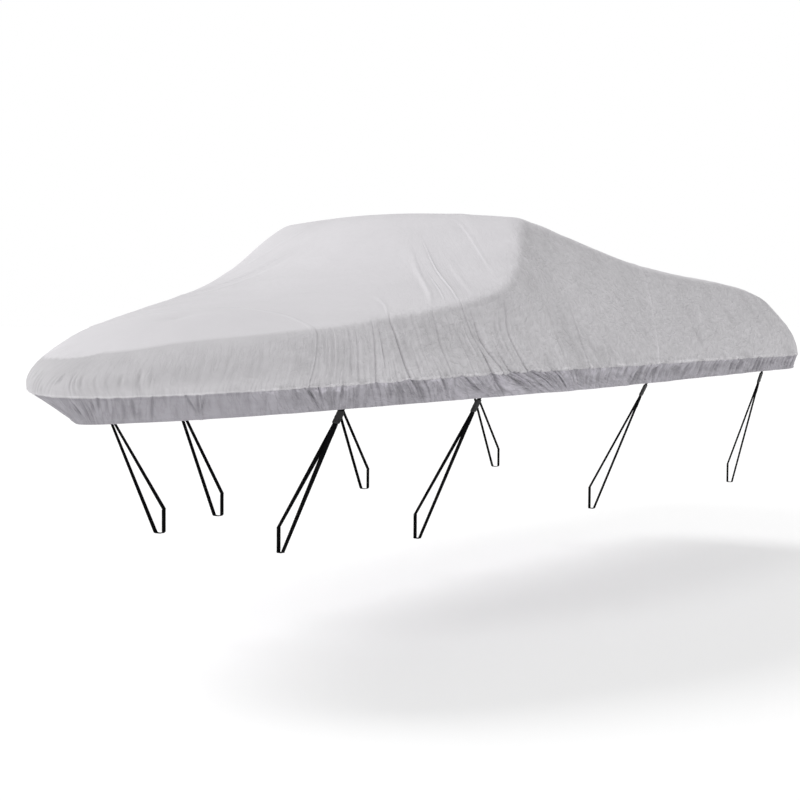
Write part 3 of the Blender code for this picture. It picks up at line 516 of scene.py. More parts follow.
def gathered(base, row, side):
    """A loop over pleats and strokes, each a bell across its own line that fades at its two ends."""
    draw = np.random.default_rng(31 if side == PORT else 32)
    height = np.zeros(base.shape)
    for g in GATHERS:
        count = int((g.last - g.first) / g.pitch)
        places = np.linspace(g.first, g.last, count) + draw.uniform(-0.4, 0.4, count) * g.pitch
        reaches = draw.uniform(0.4, 1.0, count)
        strengths = draw.uniform(0.3, 1.4, count) * g.height
        widths = draw.uniform(0.8, 1.5, count) * g.width
        starts = g.low + (g.high - g.low) * (1 - reaches) * draw.uniform(0, 1, count)
        leans = draw.uniform(-0.02, 0.02, count)
        for place, reach, strength, width, start, lean in zip(places, reaches, strengths, widths, starts, leans):
            along = (row - start) / (reach * (g.high - g.low))
            near = (np.abs(base - place) < 0.06) & (along > 0) & (along < 1)
            away = (base[near] - place - lean * (row[near] - start)) / width
            height[near] += strength * np.sin(pi * along[near]) ** 0.7 * bell(away)
    for s in STROKES:
        along = (row - s.low) / (s.high - s.low)
        near = (along > 0) & (along < 1) & (side == s.side)
        away = (base[near] - s.low_base - (s.high_base - s.low_base) * along[near]) / s.width
        height[near] += s.height * np.sin(pi * along[near]) ** 0.5 * bell(away)
    return height


# %% [markdown]
# ## Crumples
#
# Between the folds the cloth is never quite flat. Smooth random heights on a lattice give a soft swell,
# and their distance from a middle value, folded over, gives the straight little ridges of cloth that was
# packed away. A bump texture could fake this, but the ridges show at the outline and in the mesh.

# %% Random heights
def smoothstep(t):
    """0 below 0, 1 above 1 and t*t*(3 - 2t) between."""
    t = np.clip(t, 0, 1)
    return t * t * (3 - 2 * t)


def smooth_between(low, high, value):
    """0 below low, 1 above high and a smoothstep between."""
    return smoothstep((value - low) / (high - low))


def lattice_noise(x, y, seed):
    """Random numbers at whole x and y, joined by smoothstep weights: a bilinear blend with rounded corners."""
    table = np.random.default_rng(seed).uniform(-1, 1, (64, 64))
    i, j = np.floor(x).astype(int), np.floor(y).astype(int)
    s, t = smoothstep(x - i), smoothstep(y - j)
    corner = [table[(i + a) % 64, (j + b) % 64] for a, b in ((0, 0), (1, 0), (0, 1), (1, 1))]
    return (corner[0] * (1 - s) + corner[1] * s) * (1 - t) + (corner[2] * (1 - s) + corner[3] * s) * t


ROW_METRES, SKIRT_METRES = 0.42, 0.12
CRUMPLED_ALONG = ([0.0, 1.0, 1.6, 2.4, 3.0, 6.4], [0.25, 0.35, 0.65, 1.0, 1.2, 1.2])
CRUMPLED_UP = ([0.0, 0.9, 1.2, 1.85, 2.15, 3.0], [0.7, 1.0, 1.0, 0.8, 0.20, 0.12])
WIDE_HEIGHT, FINE_HEIGHT = 0.0022, 0.0019
RIPPLE_HEIGHT, RIPPLE_REACH = 0.0015, 0.032


def crumpled(girth, row, side):
    """Two sizes of ridged noise, 1 minus twice its distance from 0, on slanted axes, calmer forward and on deck."""
    seed = 50 if side == PORT else 60
    x, y = girth + 0.35 * row * ROW_METRES, row * ROW_METRES
    wide = 1 - np.abs(lattice_noise(x / 0.17, y / 0.21, seed)) * 2
    fine = 1 - np.abs(lattice_noise((x + 0.6 * y) / 0.075, (y - 0.4 * x) / 0.11, seed + 1)) * 2
    share = np.interp(girth, *CRUMPLED_ALONG) * np.interp(row, *CRUMPLED_UP)
    return share * (WIDE_HEIGHT * wide + FINE_HEIGHT * fine)


def from_crease(row):
    """Metres from the crease: the distance in rows times the height of a row, which is less on the skirt."""
    return np.abs(row - CREASE) * np.where(row > CREASE, ROW_METRES, SKIRT_METRES)


def puckered(base, row, side):
    """Ripples along the crease, where the skirt is eased on: noise along the base that dies off up and down."""
    seed = 80 if side == PORT else 90
    ripple = lattice_noise(base / 0.014, 0 * base, seed) + 0.8 * lattice_noise(base / 0.041, 0 * base, seed + 1)
    return RIPPLE_HEIGHT * ripple * np.exp(-from_crease(row) / RIPPLE_REACH)


# %% Where the straps are, and all of the small heights together
# Each strap has its girth at the hem, and the metres aft and out at which it goes round the rail.
Strap = namedtuple("Strap", "name side girth rail_aft rail_out")
STRAPS = [Strap(*row) for row in (
    ("port_1", PORT, 1.185, 0.93, 0.382), ("port_2", PORT, 1.942, 1.60, 0.607),
    ("port_3", PORT, 3.368, 2.97, 0.725), ("port_4", PORT, 4.794, 4.50, 0.788),
    ("starboard_1", STARBOARD, 1.300, 1.06, 0.430), ("starboard_2", STARBOARD, 1.980, 1.66, 0.615),
    ("starboard_3", STARBOARD, 3.350, 3.00, 0.725), ("starboard_4", STARBOARD, 4.770, 4.47, 0.788),
)]
TAB_REACH, TAB_UP = 0.030, ([0.0, 0.32, 0.60], [0.95, 0.95, 0.0])
QUIET_SPINE, QUIET_END = 0.08, 0.03


def held_flat(girth, row, side):
    """Near 0 where a tab is sewn inside the skirt, which the doubled webbing keeps flat, and 1 elsewhere."""
    near = sum(np.exp(-(((girth - strap.girth) / TAB_REACH) ** 4)) for strap in STRAPS if strap.side == side)
    return 1 - np.clip(near, 0, 1) * np.interp(row, *TAB_UP)


def wrinkles(base, girth, row, side):
    """All of the small heights, quieted at the tabs, the spine, the stem and the transom's middle."""
    height = sharp_creases(base, row, side) + gathered(base, row, side)
    height += crumpled(girth, row, side) + puckered(base, row, side)
    quiet = np.clip((SPINE - row) / QUIET_SPINE, 0, 1)
    ends = np.clip(base / QUIET_END, 0, 1) * np.clip((GIRTH_END - base) / QUIET_END, 0, 1)
    return height * quiet * ends * held_flat(girth, row, side)


def relief(base, girth, row, side):
    """Broad folds and wrinkles together."""
    return broad_folds(girth, row, side) + wrinkles(base, girth, row, side)


sample_base = np.linspace(1.5, 2.5, 900)
sample = relief(sample_base, draped(sample_base, 1.05), np.full(900, 1.05), PORT)
print("just above the crease the port side's relief runs", (1000 * np.ptp(sample)).round(1), "mm")

# %% [markdown]
# ## Columns and rows of the grid
#
# The mesh has its columns where the cloth needs them: nine across each sharp crease, and otherwise one
# every centimetre or so. All the panels take their columns from one list, so where one laps over the
# next, both follow the same wrinkles and neither shows through.

# %% Columns, closer together across each crease
BOW_SEAM, STERN_SEAM, BOW_SKIRT_SEAM = 0.975, 3.384, 0.545
# Where each span of even columns ends, and the metres from one column to the next.
SPANS = [
    (BOW_SKIRT_SEAM, 0.0048), (BOW_SEAM, 0.0062), (2.620, 0.0088), (STERN_SEAM, 0.0110),
    (4.560, 0.0115), (5.640, 0.0062), (GIRTH_END, 0.0115),
]
ACROSS_CREASE = np.array([-0.0135, -0.0090, -0.0056, -0.0028, 0, 0.0028, 0.0056, 0.0090, 0.0135])
BESIDE_SEAM = np.array([0.0080, 0.0100, 0.0118, 0.0140, 0.0170])
NARROW, CLEAR_OF_CREASE, CLEAR_OF_SEAM, CLOSEST = 0.007, 0.0165, 0.0015, 0.0011

even = [np.zeros(1)]
for end, pitch in SPANS:
    begin = even[-1][-1]
    even.append(np.linspace(begin, end, round((end - begin) / pitch) + 1)[1:])
even = np.concatenate(even)
crease_bases = np.array([crease.base for crease in PORT_CREASES if crease.width < NARROW])
fixed = np.array([0.0, BOW_SKIRT_SEAM, BOW_SEAM, STERN_SEAM, GIRTH_END])
clear = np.abs(even[:, None] - crease_bases).min(axis=1) > CLEAR_OF_CREASE
extra = (crease_bases[:, None] + ACROSS_CREASE).ravel()
extra = np.concatenate([extra] + [seam + BESIDE_SEAM for seam in (BOW_SEAM, STERN_SEAM)])
extra = extra[np.abs(extra[:, None] - fixed).min(axis=1) > CLEAR_OF_SEAM]
COLUMNS = np.unique(np.concatenate([even[clear], extra, fixed]).round(6))
COLUMNS = COLUMNS[np.concatenate([[True], (np.diff(COLUMNS) > CLOSEST) | np.isin(COLUMNS[1:], fixed)])]
COLUMNS[-1] = GIRTH_END
SIDE_ROWS = CREASE + np.concatenate([[0, 0.012, 0.030], np.linspace(0.06, 0.9, 20), [0.935, 0.97, 1.0]])
DECK_ROWS = SHOULDER + np.concatenate([[0.03, 0.065, 0.10, 0.14], np.linspace(0.18, 1, 18)])
UPPER_ROWS = np.concatenate([SIDE_ROWS, DECK_ROWS])
print(len(COLUMNS), "columns on each side and", len(UPPER_ROWS), "rows from crease to spine")

# %% [markdown]
# ## How the panels are joined
#
# Each panel laps over the next one aft, and over the skirt below it, and the lap is sewn down with two
# rows of stitches. The lap stands one thickness of cloth proud. Real thickness matters here, because a
# seam catches the light along its edge. The thread pulls the cloth in a little, so each row of stitches
# lies in a shallow groove.

# %% Laps and their grooves
LAYER, LAP, LAP_RISE = 0.0012, 0.010, 0.0020
STITCH_LINES, GROOVE_HALF, GROOVE_DEPTH = (0.0025, 0.0075), 0.0011, 0.0007
EASED, CLEAR_OF_LAP = 0.008, 0.013
LAP_EDGE = np.array([-0.010, -0.006, -0.0025, 0.0, 0.0012, 0.0025, 0.0038, 0.0050, 0.0062, 0.0075, 0.0088, 0.0100])


def lap_lift(past):
    """Height over the cloth below, past metres beyond the seam line: up by a smoothstep, less two grooves."""
    grooves = sum(bell(past - line, GROOVE_HALF) for line in STITCH_LINES)
    return LAP_RISE * smoothstep(past / LAP + 1) - GROOVE_DEPTH * grooves * (past > -0.004)


def step_over(girth, seam):
    """A rise of one lap where the edge crosses a seam of the skirt below, eased over 8 mm to each side."""
    return LAP_RISE * smoothstep((EASED + LAP / 2 - np.abs(girth - seam - LAP / 2)) / EASED)


Panel = namedtuple("Panel", "name start end lapped")


def panel_columns(panel):
    """Base girths of a panel's columns, metres past its aft seam, 0 but on the lap, and metres beyond the seam."""
    inside = COLUMNS[(COLUMNS > panel.start - 1e-9) & (COLUMNS < panel.end + 1e-9)]
    if not panel.lapped:
        return inside, np.zeros(len(inside)), inside - panel.end
    inside = inside[inside < panel.end - CLEAR_OF_LAP]
    base = np.concatenate([inside, np.full(len(LAP_EDGE), panel.end)])
    past = np.concatenate([np.zeros(len(inside)), LAP_EDGE])
    return base, past, np.concatenate([inside - panel.end, LAP_EDGE])


print("a lap is", 1000 * LAP, "mm wide and stands", 1000 * LAP_RISE, "mm proud")

# %% [markdown]
# ## From a grid to a closed piece of cloth
#
# A panel starts as a grid of points on its outer face, one grid for each side of the boat. The two share
# their points along the spine. Then the sheet gets its thickness: a second layer inside, and a narrow wall
# along every free edge. Solidify can do that too. Doing it in numpy shows what the modifier does, and it
# keeps each edge crisp, with a normal of its own.

# %% Grids, shared points and thickness
def grid_quads(columns, rows, first, turned):
    """Corner numbers round each cell, [cell, 4], in the order that makes the cell face outwards."""
    ids = first + np.arange(columns * rows).reshape(columns, rows)
    cells = np.stack([ids[:-1, :-1], ids[:-1, 1:], ids[1:, 1:], ids[1:, :-1]], axis=-1).reshape(-1, 4)
    return cells[:, ::-1] if turned else cells


def along_grid(points):
    """UV in metres: running length along each row, and running length up each column."""
    return np.stack([running_length(points, 0), running_length(points, 1)], axis=-1)


def point_normals(points, quads):
    """The sum of the cross products of the diagonals of each quad round a point, made a unit."""
    facing = np.cross(points[quads[:, 2]] - points[quads[:, 0]], points[quads[:, 3]] - points[quads[:, 1]])
    total = np.zeros_like(points)
    np.add.at(total, quads, facing[:, None])
    return unit(total)


def free_edges(quads):
    """The edges that only one quad has, in that quad's own direction."""
    edges = np.stack([quads, np.roll(quads, -1, axis=1)], axis=-1).reshape(-1, 2)
    _, index, uses = np.unique(np.sort(edges, axis=1), axis=0, return_index=True, return_counts=True)
    return edges[index[uses == 1]]


def make_object(name, points, faces, uv, finish, sharp=radians(50)):
    """A mesh object at the origin. Points and faces go in with from_pydata, and the UVs with foreach_set."""
    mesh = bpy.data.meshes.new(name)
    mesh.from_pydata(points.tolist(), [], faces.tolist() if hasattr(faces, "tolist") else faces)
    if uv is not None:
        mesh.uv_layers.new(name="cloth").data.foreach_set("uv", uv.astype(np.float32).ravel())
    mesh.shade_smooth()
    mesh.set_sharp_from_angle(angle=sharp)
    mesh.materials.append(finish)
    piece = bpy.data.objects.new(name, mesh)
    bpy.context.scene.collection.objects.link(piece)
    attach(piece, "root")
    return piece


def cloth_piece(name, grids, shared, finish):
    """One closed sheet from grids of points, bases and marks. shared pairs the point numbers that become one."""
    quads, used = [], 0
    for grid in grids:
        columns, rows = grid["points"].shape[:2]
        quads.append(grid_quads(columns, rows, used, grid["turned"]))
        used += columns * rows
    quads = np.concatenate(quads)
    points = np.concatenate([grid["points"].reshape(-1, 3) for grid in grids])
    uv = np.concatenate([along_grid(grid["points"]).reshape(-1, 2) for grid in grids])
    pull_uv = np.stack([np.concatenate([grid["base"].ravel() for grid in grids]), uv[:, 1]], axis=1)
    same = np.arange(used)
    for keep, drop in shared:
        same[drop] = keep
    kept, joined = np.unique(same[quads], return_inverse=True)
    joined = joined.reshape(-1, 4)
    outer = points[kept]
    inner = outer - LAYER * point_normals(outer, joined)
    rim = free_edges(joined)
    count = len(outer)
    wall = np.stack([rim[:, 1], rim[:, 0], rim[:, 0] + count, rim[:, 1] + count], axis=1)
    faces = np.concatenate([joined, joined[:, ::-1] + count, wall])
    corners = np.concatenate([quads, quads[:, ::-1], kept[wall % count]])
    piece = make_object(name, np.concatenate([outer, inner]), faces, uv[corners], finish)
    pull_layer = piece.data.uv_layers.new(name="pull")
    pull_layer.data.foreach_set("uv", pull_uv[corners].astype(np.float32).ravel())
    piece.data.uv_layers["cloth"].active_render = True
    for mark in MARKS:
        values = np.concatenate([grid[mark].ravel() for grid in grids])[kept]
        attribute = piece.data.attributes.new(mark, "FLOAT", "POINT")
        attribute.data.foreach_set("value", np.tile(values, 2).astype(np.float32))
    return piece


# %% Marks that the finish reads: fold height, painted light with sun fading, streaks, crumples and puckers
MARKS = ["fold", "painted_light_and_fade", "streaked", "crumpled", "puckered"]

# Each of these pairs places on the cloth, in girths, bases or rows, with the values there.
# The line along the shoulder above which the top is painted lighter, as painted light and partly sun fading, with the
# side below it in painted shade.
PAINTED_LIGHT_LINE = {
    PORT: (
        [0.0, 0.05, 0.5, 0.85, 1.1, 1.42, 1.7, 2.05, 2.2],
        [2.03, 2.06, 2.06, 2.03, 1.98, 1.98, 1.945, 1.95, 1.97],
    ),
    STARBOARD: (
        [0.0, 0.1, 0.2, 0.3, 0.4, 0.6, 1.1, 1.42, 2.2],
        [2.03, 1.97, 1.86, 1.78, 1.68, 1.66, 1.88, 1.97, 1.96],
    ),
}
# Painted tones by girth: the side, the skirt and the top made lighter or darker to stand in for how the light falls
# on them.
SIDE_PAINTED_TONE = {
    PORT: (
        [0.0, 0.1, 0.3, 0.6, 1.45, 1.75, 2.9, 3.8, 4.5, 5.0],
        [-0.60, -0.40, 0.14, 0.42, 0.38, -0.12, -0.14, -0.22, -0.50, -0.60],
    ),
    STARBOARD: ([0.0, 0.1, 0.3, 1.0, 1.6, 3.8, 5.0], [-0.60, -0.75, -0.75, -0.3, -0.1, -0.1, -0.4]),
}
SKIRT_PAINTED_TONE = (
    [0.0, 0.2, 0.5, 0.8, 1.4, 1.7, 1.95, 2.8, 3.2, 3.8],
    [0.0, -0.25, -0.15, 0.2, 0.0, 0.4, 1.1, 1.0, 0.3, 0.1],
)
DECK_PAINTED_LIGHT = ([0.0, 1.0, 1.6, 2.2], [1.26, 1.26, 1.12, 1.08])
PAINTED_LIGHT_SOFT = ([0.0, 1.0, 1.6], [0.032, 0.036, 0.065])
# Where the crease carries patches of painted highlight, and how strongly the painted light and shade of puckers
# follow noise along it.
CREASE_HIGHLIGHT_AT_LEAST = ([0.55, 0.80], [0.85, 0.15])
PUCKER_SHADING_ALONG = ([0.66, 0.80, 1.10, 1.3, 2.9, 4.0], [0.0, 1.0, 1.0, 0.5, 0.5, 0.3])
LAP_SHADOW_UP = ([0.0, 1.95, 2.1, 3.0], [1.0, 1.0, 0.55, 0.50])
STREAKED_UP = ([0.0, 1.0, 1.8, 2.02, 2.2, 2.7, 3.0], [1.0, 0.9, 0.9, 0.40, 0.30, 0.25, 0.1])
STREAKED_SIDE = ([0.0, 0.3, 0.6, 1.0, 2.1, 2.6, 4.6, 5.0, 6.4], [0.60, 0.6, 0.5, 0.9, 0.8, 0.05, 0.04, 0.15, 0.1])
STREAKED_SKIRT = ([0.0, 0.3, 0.6, 0.8, 1.1, 6.4], [1.1, 0.8, 0.4, 0.9, 1.3, 1.3])
STREAKED_HUMP = ([1.2, 1.6, 2.3, 2.6], [0.25, 1.0, 1.0, 0.3])
EASED_ALONG = ([0.0, 0.5, 0.75, 0.88, 2.4, 3.0, 6.4], [0.15, 0.15, 0.4, 1.2, 1.2, 0.9, 0.7])
SHADED_ALONG = ([0.6, 1.2], [1.0, 0.5])
CREASED_ALONG = ([0.0, 0.8, 1.2, 1.6, 2.2, 3.0], [0.12, 0.25, 0.6, 1.0, 1.1, 1.2])
CREASED_UP = ([0.0, 1.0, 1.9, 2.1, 3.0], [1.0, 1.1, 0.9, 0.16, 0.12])
# The width of the painted highlight along the crease, partly wear, the top of the skirt's painted tone, and the foot
# of the deck.
CREASE_HIGHLIGHT_WIDTH, SKIRT_TOP, DECK_FOOT = 0.0042, CREASE - 0.084, 2.05


def painted_light_and_fade_at(base, row, side):
    """The top is painted lighter above a line along the shoulder, by a smoothstep of the row: painted light, and
    partly sun fading.
    The side and the skirt get painted tones of their own. At the crease noise moves the edge between patches painted
    lighter and darker, for the light and shade on puckers, in the same way, and the last millimetres get a painted
    highlight, partly wear."""
    line, soft = np.interp(base, *PAINTED_LIGHT_LINE[side]), np.interp(base, *PAINTED_LIGHT_SOFT)
    share = smooth_between(line - soft, line + soft, row)
    tone = np.interp(base, *SIDE_PAINTED_TONE[side]) * (1 - share) + np.interp(base, *DECK_PAINTED_LIGHT) * share
    # Painted highlight patches at the crease, partly wear, and painted light and shade of puckers that move the edge
    # of the skirt's tone.
    crease_highlight_patches = smooth_between(-0.25, 0.30, lattice_noise(base / 0.019, 0 * base + 1.5, 71))
    crease_highlight_patches = np.maximum(crease_highlight_patches, np.interp(base, *CREASE_HIGHLIGHT_AT_LEAST))
    pucker_shading_noise = lattice_noise(base / 0.017, 2.5 + row / 0.30, 73) + 0.7 * lattice_noise(base / 0.047, 5.5 + row / 0.8, 74)
    pucker_shading_noise = pucker_shading_noise * np.interp(base, *PUCKER_SHADING_ALONG)
    lighter = 2.0 * smooth_between(0.0, 0.22, pucker_shading_noise + 0.1 - (from_crease(row) - LAP) / 0.030)
    darker = 1.3 * smooth_between(0.0, 0.25, -pucker_shading_noise - from_crease(row) / 0.024)
    on_skirt = np.maximum(np.interp(base, *SKIRT_PAINTED_TONE), lighter)
    tone = np.where(row < SKIRT_TOP, on_skirt, tone - darker)
    return np.maximum(tone, (1 - darker) * crease_highlight_patches * bell(from_crease(row), CREASE_HIGHLIGHT_WIDTH))


def beside_seams(girth, row):
    """A painted shadow just aft of each lap, and a painted highlight on the lap's own edge, partly wear: narrow bells
    across the seam, weak on the deck.
    """
    low = np.interp(row, *LAP_SHADOW_UP)
    knots = 0.7 + 0.6 * lattice_noise(row * ROW_METRES / 0.016, 0 * row + 0.5, 77)
    lap_shadow = lip = 0
    # Each seam's share of painted shadow, the width of its painted highlight, and that highlight's strength, partly
    # wear.
    for seam, share, width, wear_and_painted_shading in ((BOW_SEAM, 1.0, 0.004, 1.0), (STERN_SEAM, 0.7, 0.009, 1.5 * knots)):
        beyond = girth - draped(seam, row) - LAP
        lap_shadow = lap_shadow + share * low * bell(beyond - 0.0025, 0.0042) * (beyond > -0.001)
        lip = lip + bell(beyond + width, width) * (row < SHOULDER) * wear_and_painted_shading
    return lap_shadow, lip


def marks(base, girth, row, side):
    """How high each place is, how much painted light and sun fading it has, how streaked by small pleats, how
    crumpled and how puckered.
    """
    lap_shadow, lip = beside_seams(girth, row)
    # A painted shadow just under the lap along the crease.
    under = bell(SKIRT_METRES * (CREASE - row) - LAP - 0.003, 0.0035) * np.interp(base, *SHADED_ALONG)
    streaks = np.where(row < CREASE, np.interp(base, *STREAKED_SKIRT), np.interp(base, *STREAKED_SIDE))
    streaks = np.interp(row, *STREAKED_UP) * streaks * np.where(row > DECK_FOOT, np.interp(base, *STREAKED_HUMP), 1.0)
    height = wrinkles(base, girth, row, side) + 0.10 * broad_folds(girth, row, side)
    eased = np.interp(base, *EASED_ALONG) * np.exp(-from_crease(row) / 0.028)
    return {
        # The fold height carries the painted shadows too, so the finish darkens beside the laps.
        "fold": height - 0.0050 * lap_shadow - 0.0030 * under,
        "painted_light_and_fade": painted_light_and_fade_at(base, row, side) + 0.55 * lip,
        "streaked": streaks + 0.4 * np.exp(-from_crease(row) / 0.045),
        "crumpled": np.interp(girth, *CREASED_ALONG) * np.interp(row, *CREASED_UP),
        "puckered": eased + 0.7 * np.exp(-np.abs(girth - draped(STERN_SEAM, row)) / 0.05),
    }


# %% [markdown]
# ## Cloth that has been outdoors
#
# Boat covers are cut from solution-dyed polyester, a plain weave of thick flat yarns with a coating
# inside. Its colour is never quite even. Here the folds are painted darker, as painted shade and partly dust,
# the ridges lighter, as a painted highlight, and the top lighter than the side. A picture of cloth would
# repeat and blur on five metres of cover. Nodes don't, and the UVs are in metres, so the yarns come out
# at their real size. The height of each fold was kept on the mesh, and the painted shade and dust follow it.

# %% Small tools for the node trees
def curve(tree, source, stops):
    """A ramp of grey values: stops are pairs of position and value, joined smoothly."""
    ramp = node(tree, "ShaderNodeValToRGB")
    ramp.color_ramp.interpolation = "B_SPLINE" if len(stops) > 2 else "LINEAR"
    while len(ramp.color_ramp.elements) < len(stops):
        ramp.color_ramp.elements.new(0.5)
    for element, (position, value) in zip(ramp.color_ramp.elements, stops):
        element.position, element.color = position, (value, value, value, 1)
    tree.links.new(source, ramp.inputs["Fac"])
    return ramp.outputs["Color"]


def arithmetic(tree, operation, first, second):
    """A Math node on two sockets, or on a socket and a number."""
    made = node(tree, "ShaderNodeMath", operation=operation)
    for place, value in enumerate((first, second)):
        if isinstance(value, (int, float)):
            made.inputs[place].default_value = value
        else:
            tree.links.new(value, made.inputs[place])
    return made.outputs["Value"]


def stretched_noise(tree, source, across, along, detail=2.0):
    """Noise whose grains are 1/across metres wide and 1/along metres long on the UV map."""
    size = node(tree, "ShaderNodeMapping", Scale=(across, along, 1))
    tree.links.new(source, size.inputs["Vector"])
    return noise_at(tree, size.outputs["Vector"], Scale=1.0, Detail=detail, Roughness=0.55)


def mark(tree, name):
    """One of the numbers that were kept on the mesh."""
    return node(tree, "ShaderNodeAttribute", attribute_name=name).outputs["Fac"]


# %% Woven cloth
def pleats(tree, pull):
    """From 0 to 1, where stretched noise crosses its middle: thin lines along the pull, in two sizes."""
    stops = [(0.40, 0), (0.47, 0.25), (0.50, 1), (0.53, 0.25), (0.60, 0)]
    thin = curve(tree, stretched_noise(tree, pull, 36, 5.0, 3.0), stops)
    fine = curve(tree, stretched_noise(tree, pull, 100, 13.0, 3.0), [(0.38, 0), (0.5, 1), (0.62, 0)])
    both = arithmetic(tree, "ADD", thin, arithmetic(tree, "MULTIPLY", fine, 0.35))
    return arithmetic(tree, "MULTIPLY", both, mark(tree, "streaked"))


def crumples(tree, uv):
    """From 0 to about 1: ridges between the cells of a bent Voronoi pattern, in patches, over soft noise."""
    bent = node(tree, "ShaderNodeTexNoise", Scale=7.0, Detail=2.0)
    tree.links.new(uv, bent.inputs["Vector"])
    shifted = node(tree, "ShaderNodeVectorMath", operation="MULTIPLY_ADD")
    shifted.inputs[1].default_value = (0.10, 0.10, 0)
    tree.links.new(bent.outputs["Color"], shifted.inputs[0])
    tree.links.new(uv, shifted.inputs[2])
    cells = node(tree, "ShaderNodeTexVoronoi", feature="DISTANCE_TO_EDGE", Scale=14.0)
    tree.links.new(shifted.outputs["Vector"], cells.inputs["Vector"])
    ridges = curve(tree, cells.outputs["Distance"], [(0.0, 1), (0.05, 0.45), (0.30, 0)])
    patches = curve(tree, stretched_noise(tree, uv, 4.5, 4.5), [(0.42, 0), (0.60, 1)])
    ridges = arithmetic(tree, "MULTIPLY", arithmetic(tree, "MULTIPLY", ridges, patches), 0.55)
    soft = curve(tree, stretched_noise(tree, shifted.outputs["Vector"], 36, 36, 2.0), [(0.34, 0), (0.66, 1)])
    both = arithmetic(tree, "ADD", ridges, arithmetic(tree, "MULTIPLY", soft, 0.55))
    return arithmetic(tree, "MULTIPLY", both, mark(tree, "crumpled"))


def puckers(tree, pull):
    """From 0 to 1 beside the crease: blobs 14 mm long and 30 mm high where the two cloths are eased together."""
    blobs = curve(tree, stretched_noise(tree, pull, 72, 34, 1.0), [(0.36, 0), (0.64, 1)])
    return arithmetic(tree, "MULTIPLY", blobs, mark(tree, "puckered"))


def weighted(tree, parts, start):
    """A number plus each socket times its own weight."""
    total = start
    for socket, weight in parts:
        total = arithmetic(tree, "ADD", arithmetic(tree, "MULTIPLY", socket, weight), total)
    return total


YARN, FOLD_GAIN = 0.0011, 95.0
# How much the streaks, the crumples and the puckers change the colour, as painted shade in the streaks and painted
# highlights on the crumples and puckers, and how high each stands in metres.
PAINTED_SHADE_AND_HIGHLIGHT, IN_HEIGHT = (-0.095, 0.17, 0.12), (-0.0017, 0.0056, 0.0030)


def woven(name, colour, roughness, light_and_fade_gain, wear_and_shade=1.0):
    """Two crossed sine bands make the yarns. Colour is the dye, times sun fading with painted light, mottling,
    painted shade in the folds with some grime, painted shade and highlights on small marks, and grain.
    """
    material, tree, shader = new_material(name, roughness, 0.08)
    uv = node(tree, "ShaderNodeUVMap", uv_map="cloth").outputs["UV"]
    pull = node(tree, "ShaderNodeUVMap", uv_map="pull").outputs["UV"]
    place = node(tree, "ShaderNodeTexCoord").outputs["Object"]
    yarns = arithmetic(tree, "MULTIPLY", *[bands(tree, uv, way, YARN, Distortion=0.35) for way in "XY"])

    mottle = noise_at(tree, place, Scale=3.2, Detail=6.0, Roughness=0.65)
    shade = curve(tree, mottle, [(0.25, 0.975), (0.75, 1.0)])
    # Painted shade in the folds, partly dust, and a painted highlight on the ridges, read from the fold height.
    height = weighted(tree, [(mark(tree, "fold"), FOLD_GAIN)], 0.5)
    dust_and_fold_shade = curve(tree, height, [(0.0, 0.94 - 0.16 * wear_and_shade), (0.46, 0.955), (0.66, 1.0)])
    small = [pleats(tree, pull), crumples(tree, uv), puckers(tree, pull)]
    # Painted shade along the streaks and painted highlights on the crumples and puckers, all lowered by 0.06 for each
    # unit of the setting.
    wear_and_painted_shading = weighted(tree, zip(small, [weight * wear_and_shade for weight in PAINTED_SHADE_AND_HIGHLIGHT]), 1.0 - 0.06 * wear_and_shade)
    grain = curve(tree, stretched_noise(tree, uv, 420, 420), [(0.3, 0.96), (0.7, 1.0)])
    # Painted light on the top, partly sun fading, and painted tones on the side and the skirt.
    lit_top_and_fading = weighted(tree, [(mark(tree, "painted_light_and_fade"), light_and_fade_gain)], 1.0)
    for more in (dust_and_fold_shade, wear_and_painted_shading, grain, lit_top_and_fading):
        shade = arithmetic(tree, "MULTIPLY", shade, more)
    wrinkled = bumped(tree, weighted(tree, zip(small, IN_HEIGHT), 0.0), 1.0, 1.0)
    rough = curve(tree, mottle, [(0.3, roughness - 0.06), (0.7, roughness + 0.06)])
    tree.links.new(scaled(tree, colour, shade), shader.inputs["Base Color"])
    tree.links.new(bumped(tree, yarns, 0.35, 0.00022, wrinkled), shader.inputs["Normal"])
    tree.links.new(rough, shader.inputs["Roughness"])
    return material


upper_cloth = woven("upper_cloth", (0.620, 0.606, 0.628), 0.72, 0.23)
# The skirt's colour is darker than the upper cloth's as painted shade, and its larger wear setting deepens the
# painted shade in its folds and small marks.
skirt_cloth = woven("skirt_cloth", (0.432, 0.416, 0.456), 0.78, 0.22, wear_and_shade=1.9)
print("two cloths, with yarns", 1000 * YARN, "mm apart")

# %% [markdown]
# ## Three panels over the top
#
# The bow panel wraps the stem. The middle one covers the windshield, and the stern one the cockpit and
# both aft corners. Each is a single width from gunwale to gunwale, because a seam along the spine would
# let rain in. The lower edge goes 10 mm past the crease and is sewn down on the skirt.

# %% A panel of the upper cloth
UPPER_PANELS = [
    Panel("cover_bow", 0.0, BOW_SEAM, True),
    Panel("cover_middle", BOW_SEAM, STERN_SEAM, True),
    Panel("cover_stern", STERN_SEAM, GIRTH_END, False),
]


def dressed(base, girth, row, side, lift=0.0):
    """Bare cloth moved out along its normal by its relief and by a lift, mirrored to its own side."""
    point, outward, _, _ = bare_cloth(girth, row)
    mirror = np.array([1, side, 1])
    return (point + outward * (relief(base, girth, row, side) + lift)[..., None]) * mirror, outward * mirror


